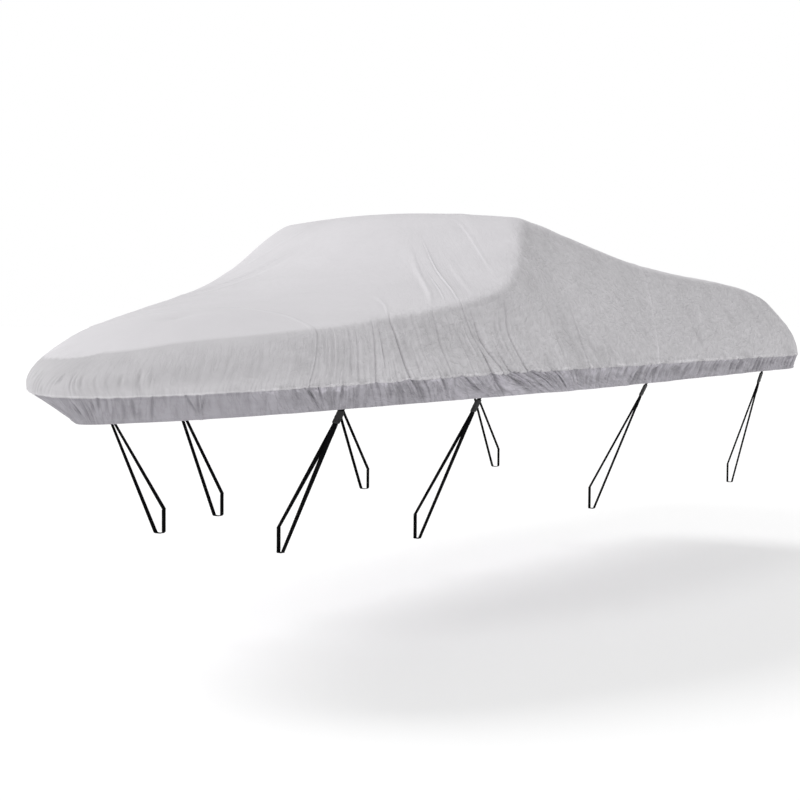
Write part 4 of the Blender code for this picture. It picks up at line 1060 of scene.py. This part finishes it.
def as_grid(base, girth, row, side, lift):
    """A grid's points, with those on the centreline set exactly on it, its bases and its marks."""
    points, _ = dressed(base, girth, row, side, lift)
    points[..., 1] *= (row < SPINE - 1e-6) & (np.abs(points[..., 1]) > 1e-9)
    return {"points": points, "base": base, "turned": side == PORT, **marks(base, girth, row, side)}


def upper_grid(panel, side):
    """Outer face, [column, row]. The first rows are the lower lap, worked in metres below the crease."""
    base, past, beyond = panel_columns(panel)
    below = LAP_EDGE[:2:-1]
    row = np.concatenate([np.full(len(below), CREASE), UPPER_ROWS[1:]])
    girth = draped(base[:, None], row[None])
    _, _, per_girth, _ = bare_cloth(girth, row)
    _, _, _, skirt_row = bare_cloth(base, CREASE - 0.02)
    girth = girth + past[:, None] / per_girth
    climb = running_length(smooth_cloth(base[:, None], UPPER_ROWS[None]), 1)[:, 1:]
    under = np.concatenate([below + 0 * base[:, None], -climb], axis=1)
    row = row[None] - np.clip(under, 0, None) / skirt_row[:, None]
    lift = lap_lift(under)
    if panel.lapped:
        lift = lift + lap_lift(beyond)[:, None]
    crossing = sum(step_over(base + past, seam) for seam in (BOW_SKIRT_SEAM, STERN_SEAM))
    lift = lift + crossing[:, None] * np.clip(1 + under / LAP, 0, 1)
    return as_grid((base + past)[:, None] + 0 * girth, girth, row, side, lift)


GRIDS = {}


def sewn_panel(panel, sides, grid_of, finish, slot):
    """Builds a panel from its sides, joined along the spine, the stem and the transom where it reaches them."""
    grids = [grid_of(panel, side) for side in sides]
    shape = grids[0]["points"].shape[:2]
    ids = np.arange(shape[0] * shape[1]).reshape(shape)
    shared = []
    if slot == "upper_cloth":
        shared.append((ids[:, -1], ids[:, -1] + ids.size))
    if panel.start == 0:
        shared.append((ids[0], ids[0] + ids.size))
    if not panel.lapped:
        shared.append((ids[-1], ids[-1] + ids.size))
    piece = cloth_piece(f"{panel.name}_cloth", grids, shared, finish)
    GRIDS[panel.name] = [(grid["points"], grid["turned"]) for grid in grids]
    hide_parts(panel.name)
    print(piece.name, 2 * len(piece.data.polygons), "triangles, box", [round(v, 3) for v in piece.dimensions])
    return piece


cloth_pieces = {
    panel.name: sewn_panel(panel, (STARBOARD, PORT), upper_grid, upper_cloth, "upper_cloth") for panel in UPPER_PANELS
}

# %% [markdown]
# ## The skirt and its hem
#
# Below the gunwale hangs a band of cloth, painted darker as painted shade, that pulls the cover down over
# the boat's side. Its hem is turned up inside, with a cord in the fold. The hem's section is drawn as a path:
# up the inside, round the cord, and up the outside to the crease.

# %% Section of the hem, as (metres up, metres out)
CORD = 0.0042
around_cord = np.radians(np.arange(180, 361, 30))
HEM_PATH = np.concatenate([
    [(0.028, -0.0030), (0.020, -0.0029), (0.013, -0.0031), (0.009, -0.0045)],
    np.stack([CORD + 0.0003 + CORD * np.sin(around_cord), -0.0013 + CORD * np.cos(around_cord)], axis=1),
    [(0.0088, 0.0018), (0.0125, 0.0003), (0.0165, 0.0), (0.0225, 0.0), (0.0240, -0.0006), (0.0255, 0.0)],
])
HEM_OUTSIDE, NEAR_HEM = 10, 0.05
SKIRT_ROWS = np.linspace(0.30, 1.0, 12)
SKIRT_PANELS = [
    Panel("skirt_bow", 0.0, BOW_SKIRT_SEAM, True),
    Panel("skirt_port", BOW_SKIRT_SEAM, STERN_SEAM, True),
    Panel("skirt_starboard", BOW_SKIRT_SEAM, STERN_SEAM, True),
    Panel("skirt_stern", STERN_SEAM, GIRTH_END, False),
]


def skirt_grid(panel, side):
    """Outer face, [column, row]: the hem's path in metres, then even rows up to the crease. The lap rises only
    from where the path is on the outside."""
    base, past, beyond = panel_columns(panel)
    _, _, _, per_row = bare_cloth(base, NEAR_HEM)
    hem_rows = HEM_PATH[:, 0] / per_row[:, None]
    row = np.concatenate([hem_rows, np.broadcast_to(SKIRT_ROWS, (len(base), len(SKIRT_ROWS)))], axis=1)
    girth = draped(base[:, None], row)
    _, _, per_girth, _ = bare_cloth(girth, row)
    girth = girth + past[:, None] / per_girth
    lift = np.concatenate([HEM_PATH[:, 1], np.zeros(len(SKIRT_ROWS))])[None] + 0 * row
    if panel.lapped:
        lift = lift + lap_lift(beyond)[:, None] * (np.arange(row.shape[1]) >= HEM_OUTSIDE)
    return as_grid((base + past)[:, None] + 0 * row, girth, row, side, lift)


SKIRT_SIDES = {"skirt_port": (PORT,), "skirt_starboard": (STARBOARD,)}
for panel in SKIRT_PANELS:
    sides = SKIRT_SIDES.get(panel.name, (STARBOARD, PORT))
    cloth_pieces[panel.name] = sewn_panel(panel, sides, skirt_grid, skirt_cloth, "skirt_cloth")

# %% [markdown]
# ## Thread
#
# Boat covers are sewn with thick polyester thread in lockstitch, about four stitches to an inch. Each
# stitch dives into the cloth at both ends and bulges between them. It is made as a small spindle, sixteen
# triangles, laid along the rows of the mesh that were put in the grooves of the seams. Stitches that are a
# picture vanish close up, and a real spindle catches light.

# %% Spindles along a line
STITCH_PITCH, STITCH_HALF, THREAD_RADIUS = 0.0062, 0.0024, 0.00048


def spindles(line, normals):
    """Stitches at even steps of a polyline: end, ring of four, ring of four, end, as points [stitch, 10, 3]."""
    along = running_length(line)
    middles = np.arange(STITCH_PITCH / 2, along[-1] - STITCH_HALF, STITCH_PITCH)

    def on_line(table, offset):
        """The table's values at each stitch's middle, moved along the line."""
        return np.stack([np.interp(middles + offset, along, column) for column in table.T], axis=1)

    up = unit(on_line(normals, 0))
    parts = []
    for offset, lift in ((-1.0, -0.0004), (-0.5, 0.0002), (0.5, 0.0002), (1.0, -0.0004)):
        centre = on_line(line, offset * STITCH_HALF) + lift * up
        if abs(offset) == 1:
            parts.append(centre[:, None])
            continue
        aside = unit(np.cross(on_line(line, STITCH_HALF) - on_line(line, -STITCH_HALF), up))
        around = [up, aside, -up, -aside]
        parts.append(centre[:, None] + THREAD_RADIUS * np.stack(around, axis=1))
    return np.concatenate(parts, axis=1)


def spindle_faces(count):
    """Corner numbers of every spindle: four triangles at each end and four quads between the rings."""
    after = [2, 3, 4, 1]
    first = [[0, after[k], k + 1] for k in range(4)]
    middle = [[k + 1, after[k], after[k] + 4, k + 5] for k in range(4)]
    last = [[9, k + 5, after[k] + 4] for k in range(4)]
    return [[10 * i + k for k in face] for i in range(count) for face in first + middle + last]


def sew(name, lines, finish):
    """One object of all the stitches along several lines of points and normals."""
    stitches = np.concatenate([spindles(line, normals) for line, normals in lines if len(line) > 1])
    piece = make_object(name, stitches.reshape(-1, 3), spindle_faces(len(stitches)), None, finish, radians(80))
    print(name, len(stitches), "stitches")
    return piece


# %% Twisted thread, and which rows and columns of the mesh it is sewn along
def twisted(name, colour):
    """Plain dyed thread, with small dark and light flecks from a noise as fine as its twist."""
    material, tree, shader = new_material(name, 0.62, 0.1)
    fleck = noise_at(tree, node(tree, "ShaderNodeTexCoord").outputs["Object"], Scale=900.0, Detail=1.0)
    shade = curve(tree, fleck, [(0.3, 0.86), (0.7, 1.0)])
    tree.links.new(scaled(tree, colour, shade), shader.inputs["Base Color"])
    return material


upper_thread = twisted("upper_thread", (0.66, 0.645, 0.67))
skirt_thread = twisted("skirt_thread", (0.50, 0.485, 0.53))
# Which rows and columns of a panel's mesh lie in the grooves, and where the skirt's outer rows begin.
CREASE_STITCH_ROWS, SEAM_STITCH_COLUMNS, HEM_STITCH_ROW, OUTER_ROWS = (2, 6), (-7, -3), 15, 12


def seam_lines(panel, upper):
    """Lines of stitches that follow a panel's own mesh: along its crease or hem, and down its aft lap."""
    lines = []
    for points, turned in GRIDS[panel.name]:
        columns, rows = points.shape[:2]
        normals = point_normals(points.reshape(-1, 3), grid_quads(columns, rows, 0, turned)).reshape(points.shape)
        for k in CREASE_STITCH_ROWS if upper else (HEM_STITCH_ROW,):
            lines.append((points[:, k], normals[:, k]))
        if panel.lapped:
            start = 0 if upper else OUTER_ROWS
            lines += [(points[k, start:], normals[k, start:]) for k in SEAM_STITCH_COLUMNS]
    return lines


seam_stitches = {
    panel.name: sew(f"{panel.name}_stitches", seam_lines(panel, True), upper_thread)
    for panel in UPPER_PANELS
}

# %% [markdown]
# ## Webbing
#
# The straps and tabs are polyester webbing, 25 mm wide, woven with ribs across it. Webbing is a ribbon, so
# its shape is a rounded rectangle carried along a path of frames, each with a centre, a width direction
# and a direction that it faces. A curve with a bevel would twist where it turns round the rail. Frames that
# are worked out one by one keep the strap flat.

# %% A ribbon along a path of frames
WEB_WIDTH, WEB_THICK = 0.025, 0.0018


def belt_profile(width, thick):
    """Rounded rectangle, anticlockwise: a half circle at each end and a flat face between them."""
    ends = np.linspace(-pi / 2, pi / 2, 5)
    across = np.linspace(0.86, -0.86, 5) * (width - thick) / 2
    right = np.stack([(width - thick) / 2 + thick / 2 * np.cos(ends), thick / 2 * np.sin(ends)], axis=1)
    top = np.stack([across, thick / 2 + 0 * across], axis=1)
    half = np.concatenate([right, top])
    return np.concatenate([half, -half])


def swept(profile, centres, widths, outs):
    """Rings of points: centre plus profile x along the width and profile y along the outward direction."""
    return (
        centres[:, None]
        + profile[None, :, :1] * widths[:, None]
        + profile[None, :, 1:] * outs[:, None]
    )


def capped(rings):
    """A closed tube: quads between rings and one polygon on each end, turned so that its volume is positive."""
    count, size = rings.shape[:2]
    points = rings.reshape(-1, 3)
    ids = np.arange(count * size).reshape(count, size)
    after = np.roll(ids, -1, axis=1)
    quads = np.stack([ids[:-1], after[:-1], after[1:], ids[1:]], axis=-1).reshape(-1, 4)
    p = points[quads] - points.mean(axis=0)
    volume = (p[:, 0] * np.cross(p[:, 1], p[:, 2]) + p[:, 0] * np.cross(p[:, 2], p[:, 3])).sum()
    caps = [ids[0][::-1].tolist(), ids[-1].tolist()]
    faces = quads.tolist() + caps
    return points, faces if volume > 0 else [face[::-1] for face in faces]


def tube_uv(rings, faces):
    """UV in metres for a tube's corners: length round the profile, and length along the path."""
    round_it = np.linalg.norm(np.diff(rings, axis=1, prepend=rings[:, -1:]), axis=-1).cumsum(axis=1)
    along = running_length(rings.mean(axis=1))
    table = np.stack([round_it, np.broadcast_to(along[:, None], round_it.shape)], axis=-1).reshape(-1, 2)
    return table[np.concatenate([np.array(face) for face in faces])]


def joined_tubes(name, tubes, finish, sharp=radians(50)):
    """Several closed tubes as one object: their points and faces one after another."""
    points, faces, uv, used = [], [], [], 0
    for rings in tubes:
        p, f = capped(rings)
        uv.append(tube_uv(rings, f))
        points.append(p)
        faces += [[k + used for k in face] for face in f]
        used += len(p)
    return make_object(name, np.concatenate(points), faces, np.concatenate(uv), finish, sharp)


# %% Webbing and moulded plastic
RIB_PITCH, WARP_PITCH = 0.0017, 0.0009


def ribbed(name, colour):
    """Ribs across the strap, finer yarns along it at 0.4 of their height, and a paler bloom of wear in patches."""
    material, tree, shader = new_material(name, 0.82)
    shader.inputs["Specular IOR Level"].default_value = 0.02
    uv = node(tree, "ShaderNodeUVMap", uv_map="cloth").outputs["UV"]
    woven_height = node(tree, "ShaderNodeMath", operation="MULTIPLY_ADD")
    tree.links.new(bands(tree, uv, "X", WARP_PITCH, Distortion=0.3), woven_height.inputs[0])
    woven_height.inputs[1].default_value = 0.4
    tree.links.new(bands(tree, uv, "Y", RIB_PITCH, Distortion=0.8, Detail=1.0), woven_height.inputs[2])
    wear_and_shade = noise_at(tree, node(tree, "ShaderNodeTexCoord").outputs["Object"], Scale=18.0, Detail=4.0)
    tree.links.new(bumped(tree, woven_height.outputs["Value"], 0.7, 0.0004), shader.inputs["Normal"])
    tree.links.new(paler(tree, wear_and_shade, 0.40, 0.75, colour), shader.inputs["Base Color"])
    return material


def moulded(name, colour):
    """Fine spark-eroded grain from a small noise, and roughness that a wider noise moves a little."""
    material, tree, shader = new_material(name, 0.42)
    shader.inputs["Specular IOR Level"].default_value = 0.35
    place = node(tree, "ShaderNodeTexCoord").outputs["Object"]
    grain = noise_at(tree, place, Scale=1400.0, Detail=2.0)
    wear_and_painted_shading = noise_at(tree, place, Scale=70.0, Detail=4.0)
    rough = node(tree, "ShaderNodeMapRange", To_Min=0.34, To_Max=0.58)
    tree.links.new(wear_and_painted_shading, rough.inputs["Value"])
    tree.links.new(bumped(tree, grain, 0.35, 0.0002), shader.inputs["Normal"])
    tree.links.new(rough.outputs["Result"], shader.inputs["Roughness"])
    tree.links.new(paler(tree, wear_and_painted_shading, 0.45, 0.80, colour), shader.inputs["Base Color"])
    return material


webbing = ribbed("webbing", (0.0028, 0.0028, 0.0033))
buckle_plastic = moulded("buckle_plastic", (0.0040, 0.0040, 0.0045))

# %% [markdown]
# ## Tabs, where the straps begin
#
# A short doubled piece of webbing is sewn up the inside of the skirt at each strap and comes out below the
# hem to hold the buckle. It follows the cloth, so it takes its frames from the same function. Its stitches
# go through, and show on the skirt as a box with a cross in it.

# %% Tabs
TAB_THICK, TAB_LAP, TAB_CLEAR, TAB_DROP = 0.0034, 0.25, 0.0024, 0.010
GAP = 0.0003
RAIL_TOP, RAIL_SIZE, RAIL_CORNER, WRAP_SKEW = -0.63, (0.034, 0.110), 0.006, 0.020


def skin(girth, row, side):
    """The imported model's outer face, which has the broad folds and no fine ones. The tabs hang from it."""
    girth, row = np.broadcast_arrays(np.asarray(girth, float), np.asarray(row, float))
    point, outward, _, _ = bare_cloth(girth, row)
    return (point + outward * broad_folds(girth, row, side)[..., None]) * np.array([1, side, 1])


def strap_frame(strap):
    """Unit directions down the strap, across its width and outwards, where its tab is sewn to the hem."""
    hem = skin(strap.girth, HEM, strap.side)
    along = unit(skin(strap.girth + 0.01, HEM, strap.side) - skin(strap.girth - 0.01, HEM, strap.side))
    rail = np.array([strap.rail_aft, strap.side * strap.rail_out, RAIL_TOP - RAIL_SIZE[1] / 2]) - ORIGIN
    down = unit(rail - hem)
    width = unit(along - down * np.dot(along, down))
    out = np.cross(down, width)
    return down, width, out * (1 if out[1] * strap.side > 0 else -1)


def tab_path(strap, down, width, out):
    """Centres and facings of a tab: five of them down the inside of the skirt, and the last below the hem."""
    depth = CLOTH + TAB_CLEAR + TAB_THICK / 2
    row = np.array([TAB_LAP, TAB_LAP * 0.75, TAB_LAP / 2, TAB_LAP / 4, HEM])
    feet = skin(strap.girth, row, strap.side)
    facing = unit(np.cross(skin(strap.girth, row + 0.05, strap.side) - feet, width))
    facing *= np.sign(facing[:, 1:2] * strap.side)
    centres = feet - depth * facing
    centres = np.concatenate([centres, [centres[-1] + down * TAB_DROP]])
    return centres, np.concatenate([facing, [out]])


frames = {strap.name: strap_frame(strap) for strap in STRAPS}
buckle_tops = {}
for strap in STRAPS:
    down, width, out = frames[strap.name]
    centres, facing = tab_path(strap, down, width, out)
    rings = swept(belt_profile(WEB_WIDTH, TAB_THICK), centres, np.tile(width, (len(centres), 1)), facing)
    piece = joined_tubes(f"tab_{strap.name}_webbing", [rings], webbing)
    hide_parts(f"tab_{strap.name}")
    buckle_tops[strap.name] = centres[-1] + down * GAP
print("eight tabs, the first with its end at", buckle_tops["port_1"].round(3))

# %% A box with a cross on the skirt over each tab
BOX_HALF, BOX_LOW, BOX_HIGH = 0.0095, 0.0120, 0.0268
BOX = [(-1, 0), (1, 0), (1, 1), (-1, 1), (-1, 0), (1, 1), (-1, 1), (1, 0)]


def base_at(girth, row):
    """The line of pull through a place, read backwards from the table at that row."""
    return np.array([np.interp(g, draped(COLUMNS, r), COLUMNS) for g, r in zip(girth, row)])


def box_lines(strap):
    """Straight lines of stitches on the outer face: four sides and two diagonals, with the top side sewn twice."""
    lines = []
    share = np.linspace(0.04, 0.96, 12)
    _, _, per_girth, per_row = bare_cloth(strap.girth, NEAR_HEM)
    for (x0, y0), (x1, y1) in zip(BOX[:-1], BOX[1:]):
        girth = strap.girth + BOX_HALF * (x0 + (x1 - x0) * share) / per_girth
        row = (BOX_LOW + (BOX_HIGH - BOX_LOW) * (y0 + (y1 - y0) * share)) / per_row
        lines.append(dressed(base_at(girth, row), girth, row, strap.side))
    return lines


for panel in SKIRT_PANELS:
    lines = seam_lines(panel, False)
    for strap in STRAPS:
        here = panel.start < strap.girth < panel.end and strap.side in SKIRT_SIDES.get(panel.name, (PORT, STARBOARD))
        lines += box_lines(strap) if here else []
    seam_stitches[panel.name] = sew(f"{panel.name}_stitches", lines, skirt_thread)

# %% [markdown]
# ## Side-release buckles
#
# Each buckle is two mouldings. The socket hangs from the tab, and the plug's two arms snap into it and
# bulge out of its sides, where finger and thumb squeeze them. Every part is a row of rounded rectangles
# down the strap, whose width and thickness change. That gives the soft edges of moulded plastic without a
# Bevel on each one.

# %% A moulding from rounded sections
BUCKLE_LENGTH = 0.062


def moulding(cuts, centre_x=0.0, corner=3.2, steps=28):
    """Rings of superellipses, |x/a|^n + |y/b|^n = 1, with a and b read from the cuts at each height."""
    turn = np.linspace(0, 2 * pi, steps, endpoint=False)
    c, s = np.cos(turn), np.sin(turn)
    x, y = np.sign(c) * np.abs(c) ** (2 / corner), np.sign(s) * np.abs(s) ** (2 / corner)
    table = np.array(cuts)
    return np.stack([
        centre_x + table[:, 1:2] * x, table[:, 2:3] * y, np.broadcast_to(table[:, :1], (len(table), steps))
    ], axis=-1)


# Each cut has its height up the strap, half its width and half its thickness, in metres.
SOCKET = [
    (0.0310, 0.0140, 0.0030), (0.0304, 0.0160, 0.0040), (0.0285, 0.0176, 0.0046), (0.0240, 0.0180, 0.0050),
    (0.0160, 0.0180, 0.0054), (0.0100, 0.0179, 0.0055), (0.0062, 0.0165, 0.0055), (0.0040, 0.0150, 0.0054),
    (0.0010, 0.0142, 0.0053), (-0.0040, 0.0141, 0.0052), (-0.0066, 0.0146, 0.0051), (-0.0076, 0.0140, 0.0045),
    (-0.0078, 0.0128, 0.0034),
]
PLUG = [
    (-0.0080, 0.0128, 0.0036), (-0.0086, 0.0160, 0.0046), (-0.0100, 0.0174, 0.0050), (-0.0140, 0.0178, 0.0050),
    (-0.0190, 0.0179, 0.0046), (-0.0240, 0.0180, 0.0042), (-0.0285, 0.0178, 0.0038), (-0.0304, 0.0165, 0.0032),
    (-0.0310, 0.0145, 0.0024),
]
ARM = [
    (0.0078, 0.0004, 0.0020), (0.0070, 0.0013, 0.0032), (0.0040, 0.0021, 0.0038), (0.0000, 0.0024, 0.0040),
    (-0.0040, 0.0022, 0.0038), (-0.0075, 0.0016, 0.0034), (-0.0090, 0.0010, 0.0030),
]


def bar_across(height, out, half=0.0150, radius=0.0011):
    """A round rib across the face, 8-sided: the grip that finger and thumb pull on."""
    turn = np.linspace(0, 2 * pi, 8, endpoint=False)
    x = np.array([-half, -half + 0.0006, half - 0.0006, half])[:, None] + 0 * turn
    size = np.array([0.3, 1, 1, 0.3])[:, None] * radius
    return np.stack([x, out + size * np.cos(turn), height + size * np.sin(turn)], axis=-1)


ARM_X, GRIPS, GRIP_OUT, TOP_BAR, TOP_BAR_OUT = 0.0158, (-0.0150, -0.0190, -0.0230), 0.0043, 0.0262, 0.0047
BUCKLE_TUBES = [moulding(SOCKET), moulding(PLUG)]
BUCKLE_TUBES += [moulding(ARM, centre_x=side * ARM_X, corner=2.4, steps=14) for side in (-1, 1)]
BUCKLE_TUBES += [bar_across(height, out * GRIP_OUT) for height in GRIPS for out in (-1, 1)]
BUCKLE_TUBES += [bar_across(TOP_BAR, out * TOP_BAR_OUT, half=0.0140, radius=0.0010) for out in (-1, 1)]


def place_buckle(strap):
    """Rings turned so that x is the width, y the outward direction and z up the strap. Gives the lower end."""
    down, width, out = frames[strap.name]
    turn = np.stack([width, out, -down], axis=1)
    if np.linalg.det(turn) < 0:
        turn[:, 0] *= -1
    centre = buckle_tops[strap.name] + down * BUCKLE_LENGTH / 2
    tubes = [rings @ turn.T + centre for rings in BUCKLE_TUBES]
    piece = joined_tubes(f"buckle_{strap.name}_moulding", tubes, buckle_plastic, radians(40))
    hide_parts(f"buckle_{strap.name}")
    return buckle_tops[strap.name] + down * (BUCKLE_LENGTH + GAP)


strap_tops = {strap.name: place_buckle(strap) for strap in STRAPS}
print(len(BUCKLE_TUBES), "mouldings in each buckle")

# %% [markdown]
# ## Straps round the trailer's rails
#
# Each strap leaves its buckle, goes down outside the rail, under it, up behind it and back to the buckle.
# Its corners are circles round the rail's own corners, and its legs are straight lines that touch the
# circles, so nothing kinks. The path is worked out flat, seen from the front, and then given its drift
# aft. The sewn end is a second, shorter layer just below the buckle.

# %% The path of a strap
AFT = np.array([1.0, 0.0, 0.0])
LEG_STEPS, SEWN_FROM, SEWN_TO = 16, 0.004, 0.062


def touching_angle(point, centre, radius, turn):
    """Angle on a circle where a straight line from the point touches it: the bearing plus acos(-r / d)."""
    away = (centre[0] - point[0], centre[1] - point[1])
    return atan2(away[1], away[0]) + turn * acos(-radius / (away[0] ** 2 + away[1] ** 2) ** 0.5)


def arc(centre, radius, start, end, steps=7):
    """Points on a circle from one angle to another, each with its angle."""
    angles = np.linspace(start, end, steps + 1)
    return np.stack([centre[0] + radius * np.cos(angles), centre[1] + radius * np.sin(angles), angles], axis=1)


def rail_wrap(strap, outer, inner):
    """Round three corners of the rail, as rows of (out, up, angle that faces away from the rail)."""
    radius = RAIL_CORNER + WEB_THICK / 2
    low, high = RAIL_TOP - RAIL_SIZE[1] + RAIL_CORNER, RAIL_TOP - RAIL_CORNER
    near = strap.rail_out - RAIL_SIZE[0] / 2 + RAIL_CORNER
    far = strap.rail_out + RAIL_SIZE[0] / 2 - RAIL_CORNER
    leave = touching_angle(outer, (far, low), radius, 1)
    arrive = touching_angle(inner, (near, high), radius, -1)
    arrive -= 2 * pi * np.ceil((arrive + pi) / (2 * pi))
    return np.concatenate([
        arc((far, low), radius, leave, -pi / 2),
        arc((near, low), radius, -pi / 2, -pi),
        arc((near, high), radius, -pi, arrive, 3),
    ])


def leg(start, start_out, width, foot, foot_away):
    """Straight from the buckle to the rail, while its width and facing turn steadily from one to the other."""
    share = np.linspace(0, 1, LEG_STEPS, endpoint=False)[:, None]
    return (
        start * (1 - share) + foot * share,
        unit(width * (1 - share) + AFT * share),
        unit(start_out * (1 - share) + foot_away * share),
    )


def strap_path(strap):
    """Centres, widths and facings of the whole strap, from the buckle round the rail and back."""
    _, width, out = frames[strap.name]
    width = width if width[0] > 0 else -width
    end = strap_tops[strap.name]
    apart = out * (WEB_THICK + GAP) / 2
    outer, inner = end + apart + ORIGIN, end - apart + ORIGIN
    wrap = rail_wrap(strap, (abs(outer[1]), outer[2]), (abs(inner[1]), inner[2]))
    drift = np.linspace(-WRAP_SKEW / 2, WRAP_SKEW / 2, len(wrap))
    on_rail = np.stack([strap.rail_aft + drift, strap.side * wrap[:, 0], wrap[:, 1]], axis=1)
    away = np.stack([0 * drift, strap.side * np.cos(wrap[:, 2]), np.sin(wrap[:, 2])], axis=1)
    first = leg(outer, out, width, on_rail[0], away[0])
    last = leg(inner, -out, width, on_rail[-1], away[-1])
    aft = np.tile(AFT, (len(wrap), 1))
    return (
        np.concatenate([first[0], on_rail, last[0][::-1]]) - ORIGIN,
        np.concatenate([first[1], aft, last[1][::-1]]),
        np.concatenate([first[2], away, last[2][::-1]]),
    )


def sewn_end(centres, widths, outs):
    """A second layer on the outer leg just below the buckle, lying on the first: the same frames, moved out."""
    places = np.linspace(SEWN_FROM, SEWN_TO, 10)
    along = running_length(centres[:LEG_STEPS])
    centre, width, out = (
        np.stack([np.interp(places, along, column) for column in table[:LEG_STEPS].T], axis=1)
        for table in (centres, widths, outs)
    )
    out = unit(out)
    return swept(belt_profile(0.97 * WEB_WIDTH, WEB_THICK), centre + out * 0.96 * WEB_THICK, unit(width), out)


strap_lengths = {}
for strap in STRAPS:
    centres, widths, outs = strap_path(strap)
    strap_lengths[strap.name] = float(running_length(centres)[-1])
    rings = swept(belt_profile(WEB_WIDTH, WEB_THICK), centres, widths, unit(outs))
    piece = joined_tubes(f"strap_{strap.name}_webbing", [rings, sewn_end(centres, widths, unit(outs))], webbing)
    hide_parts(f"strap_{strap.name}")
print("strap lengths in metres:", {name: round(length, 2) for name, length in strap_lengths.items()})
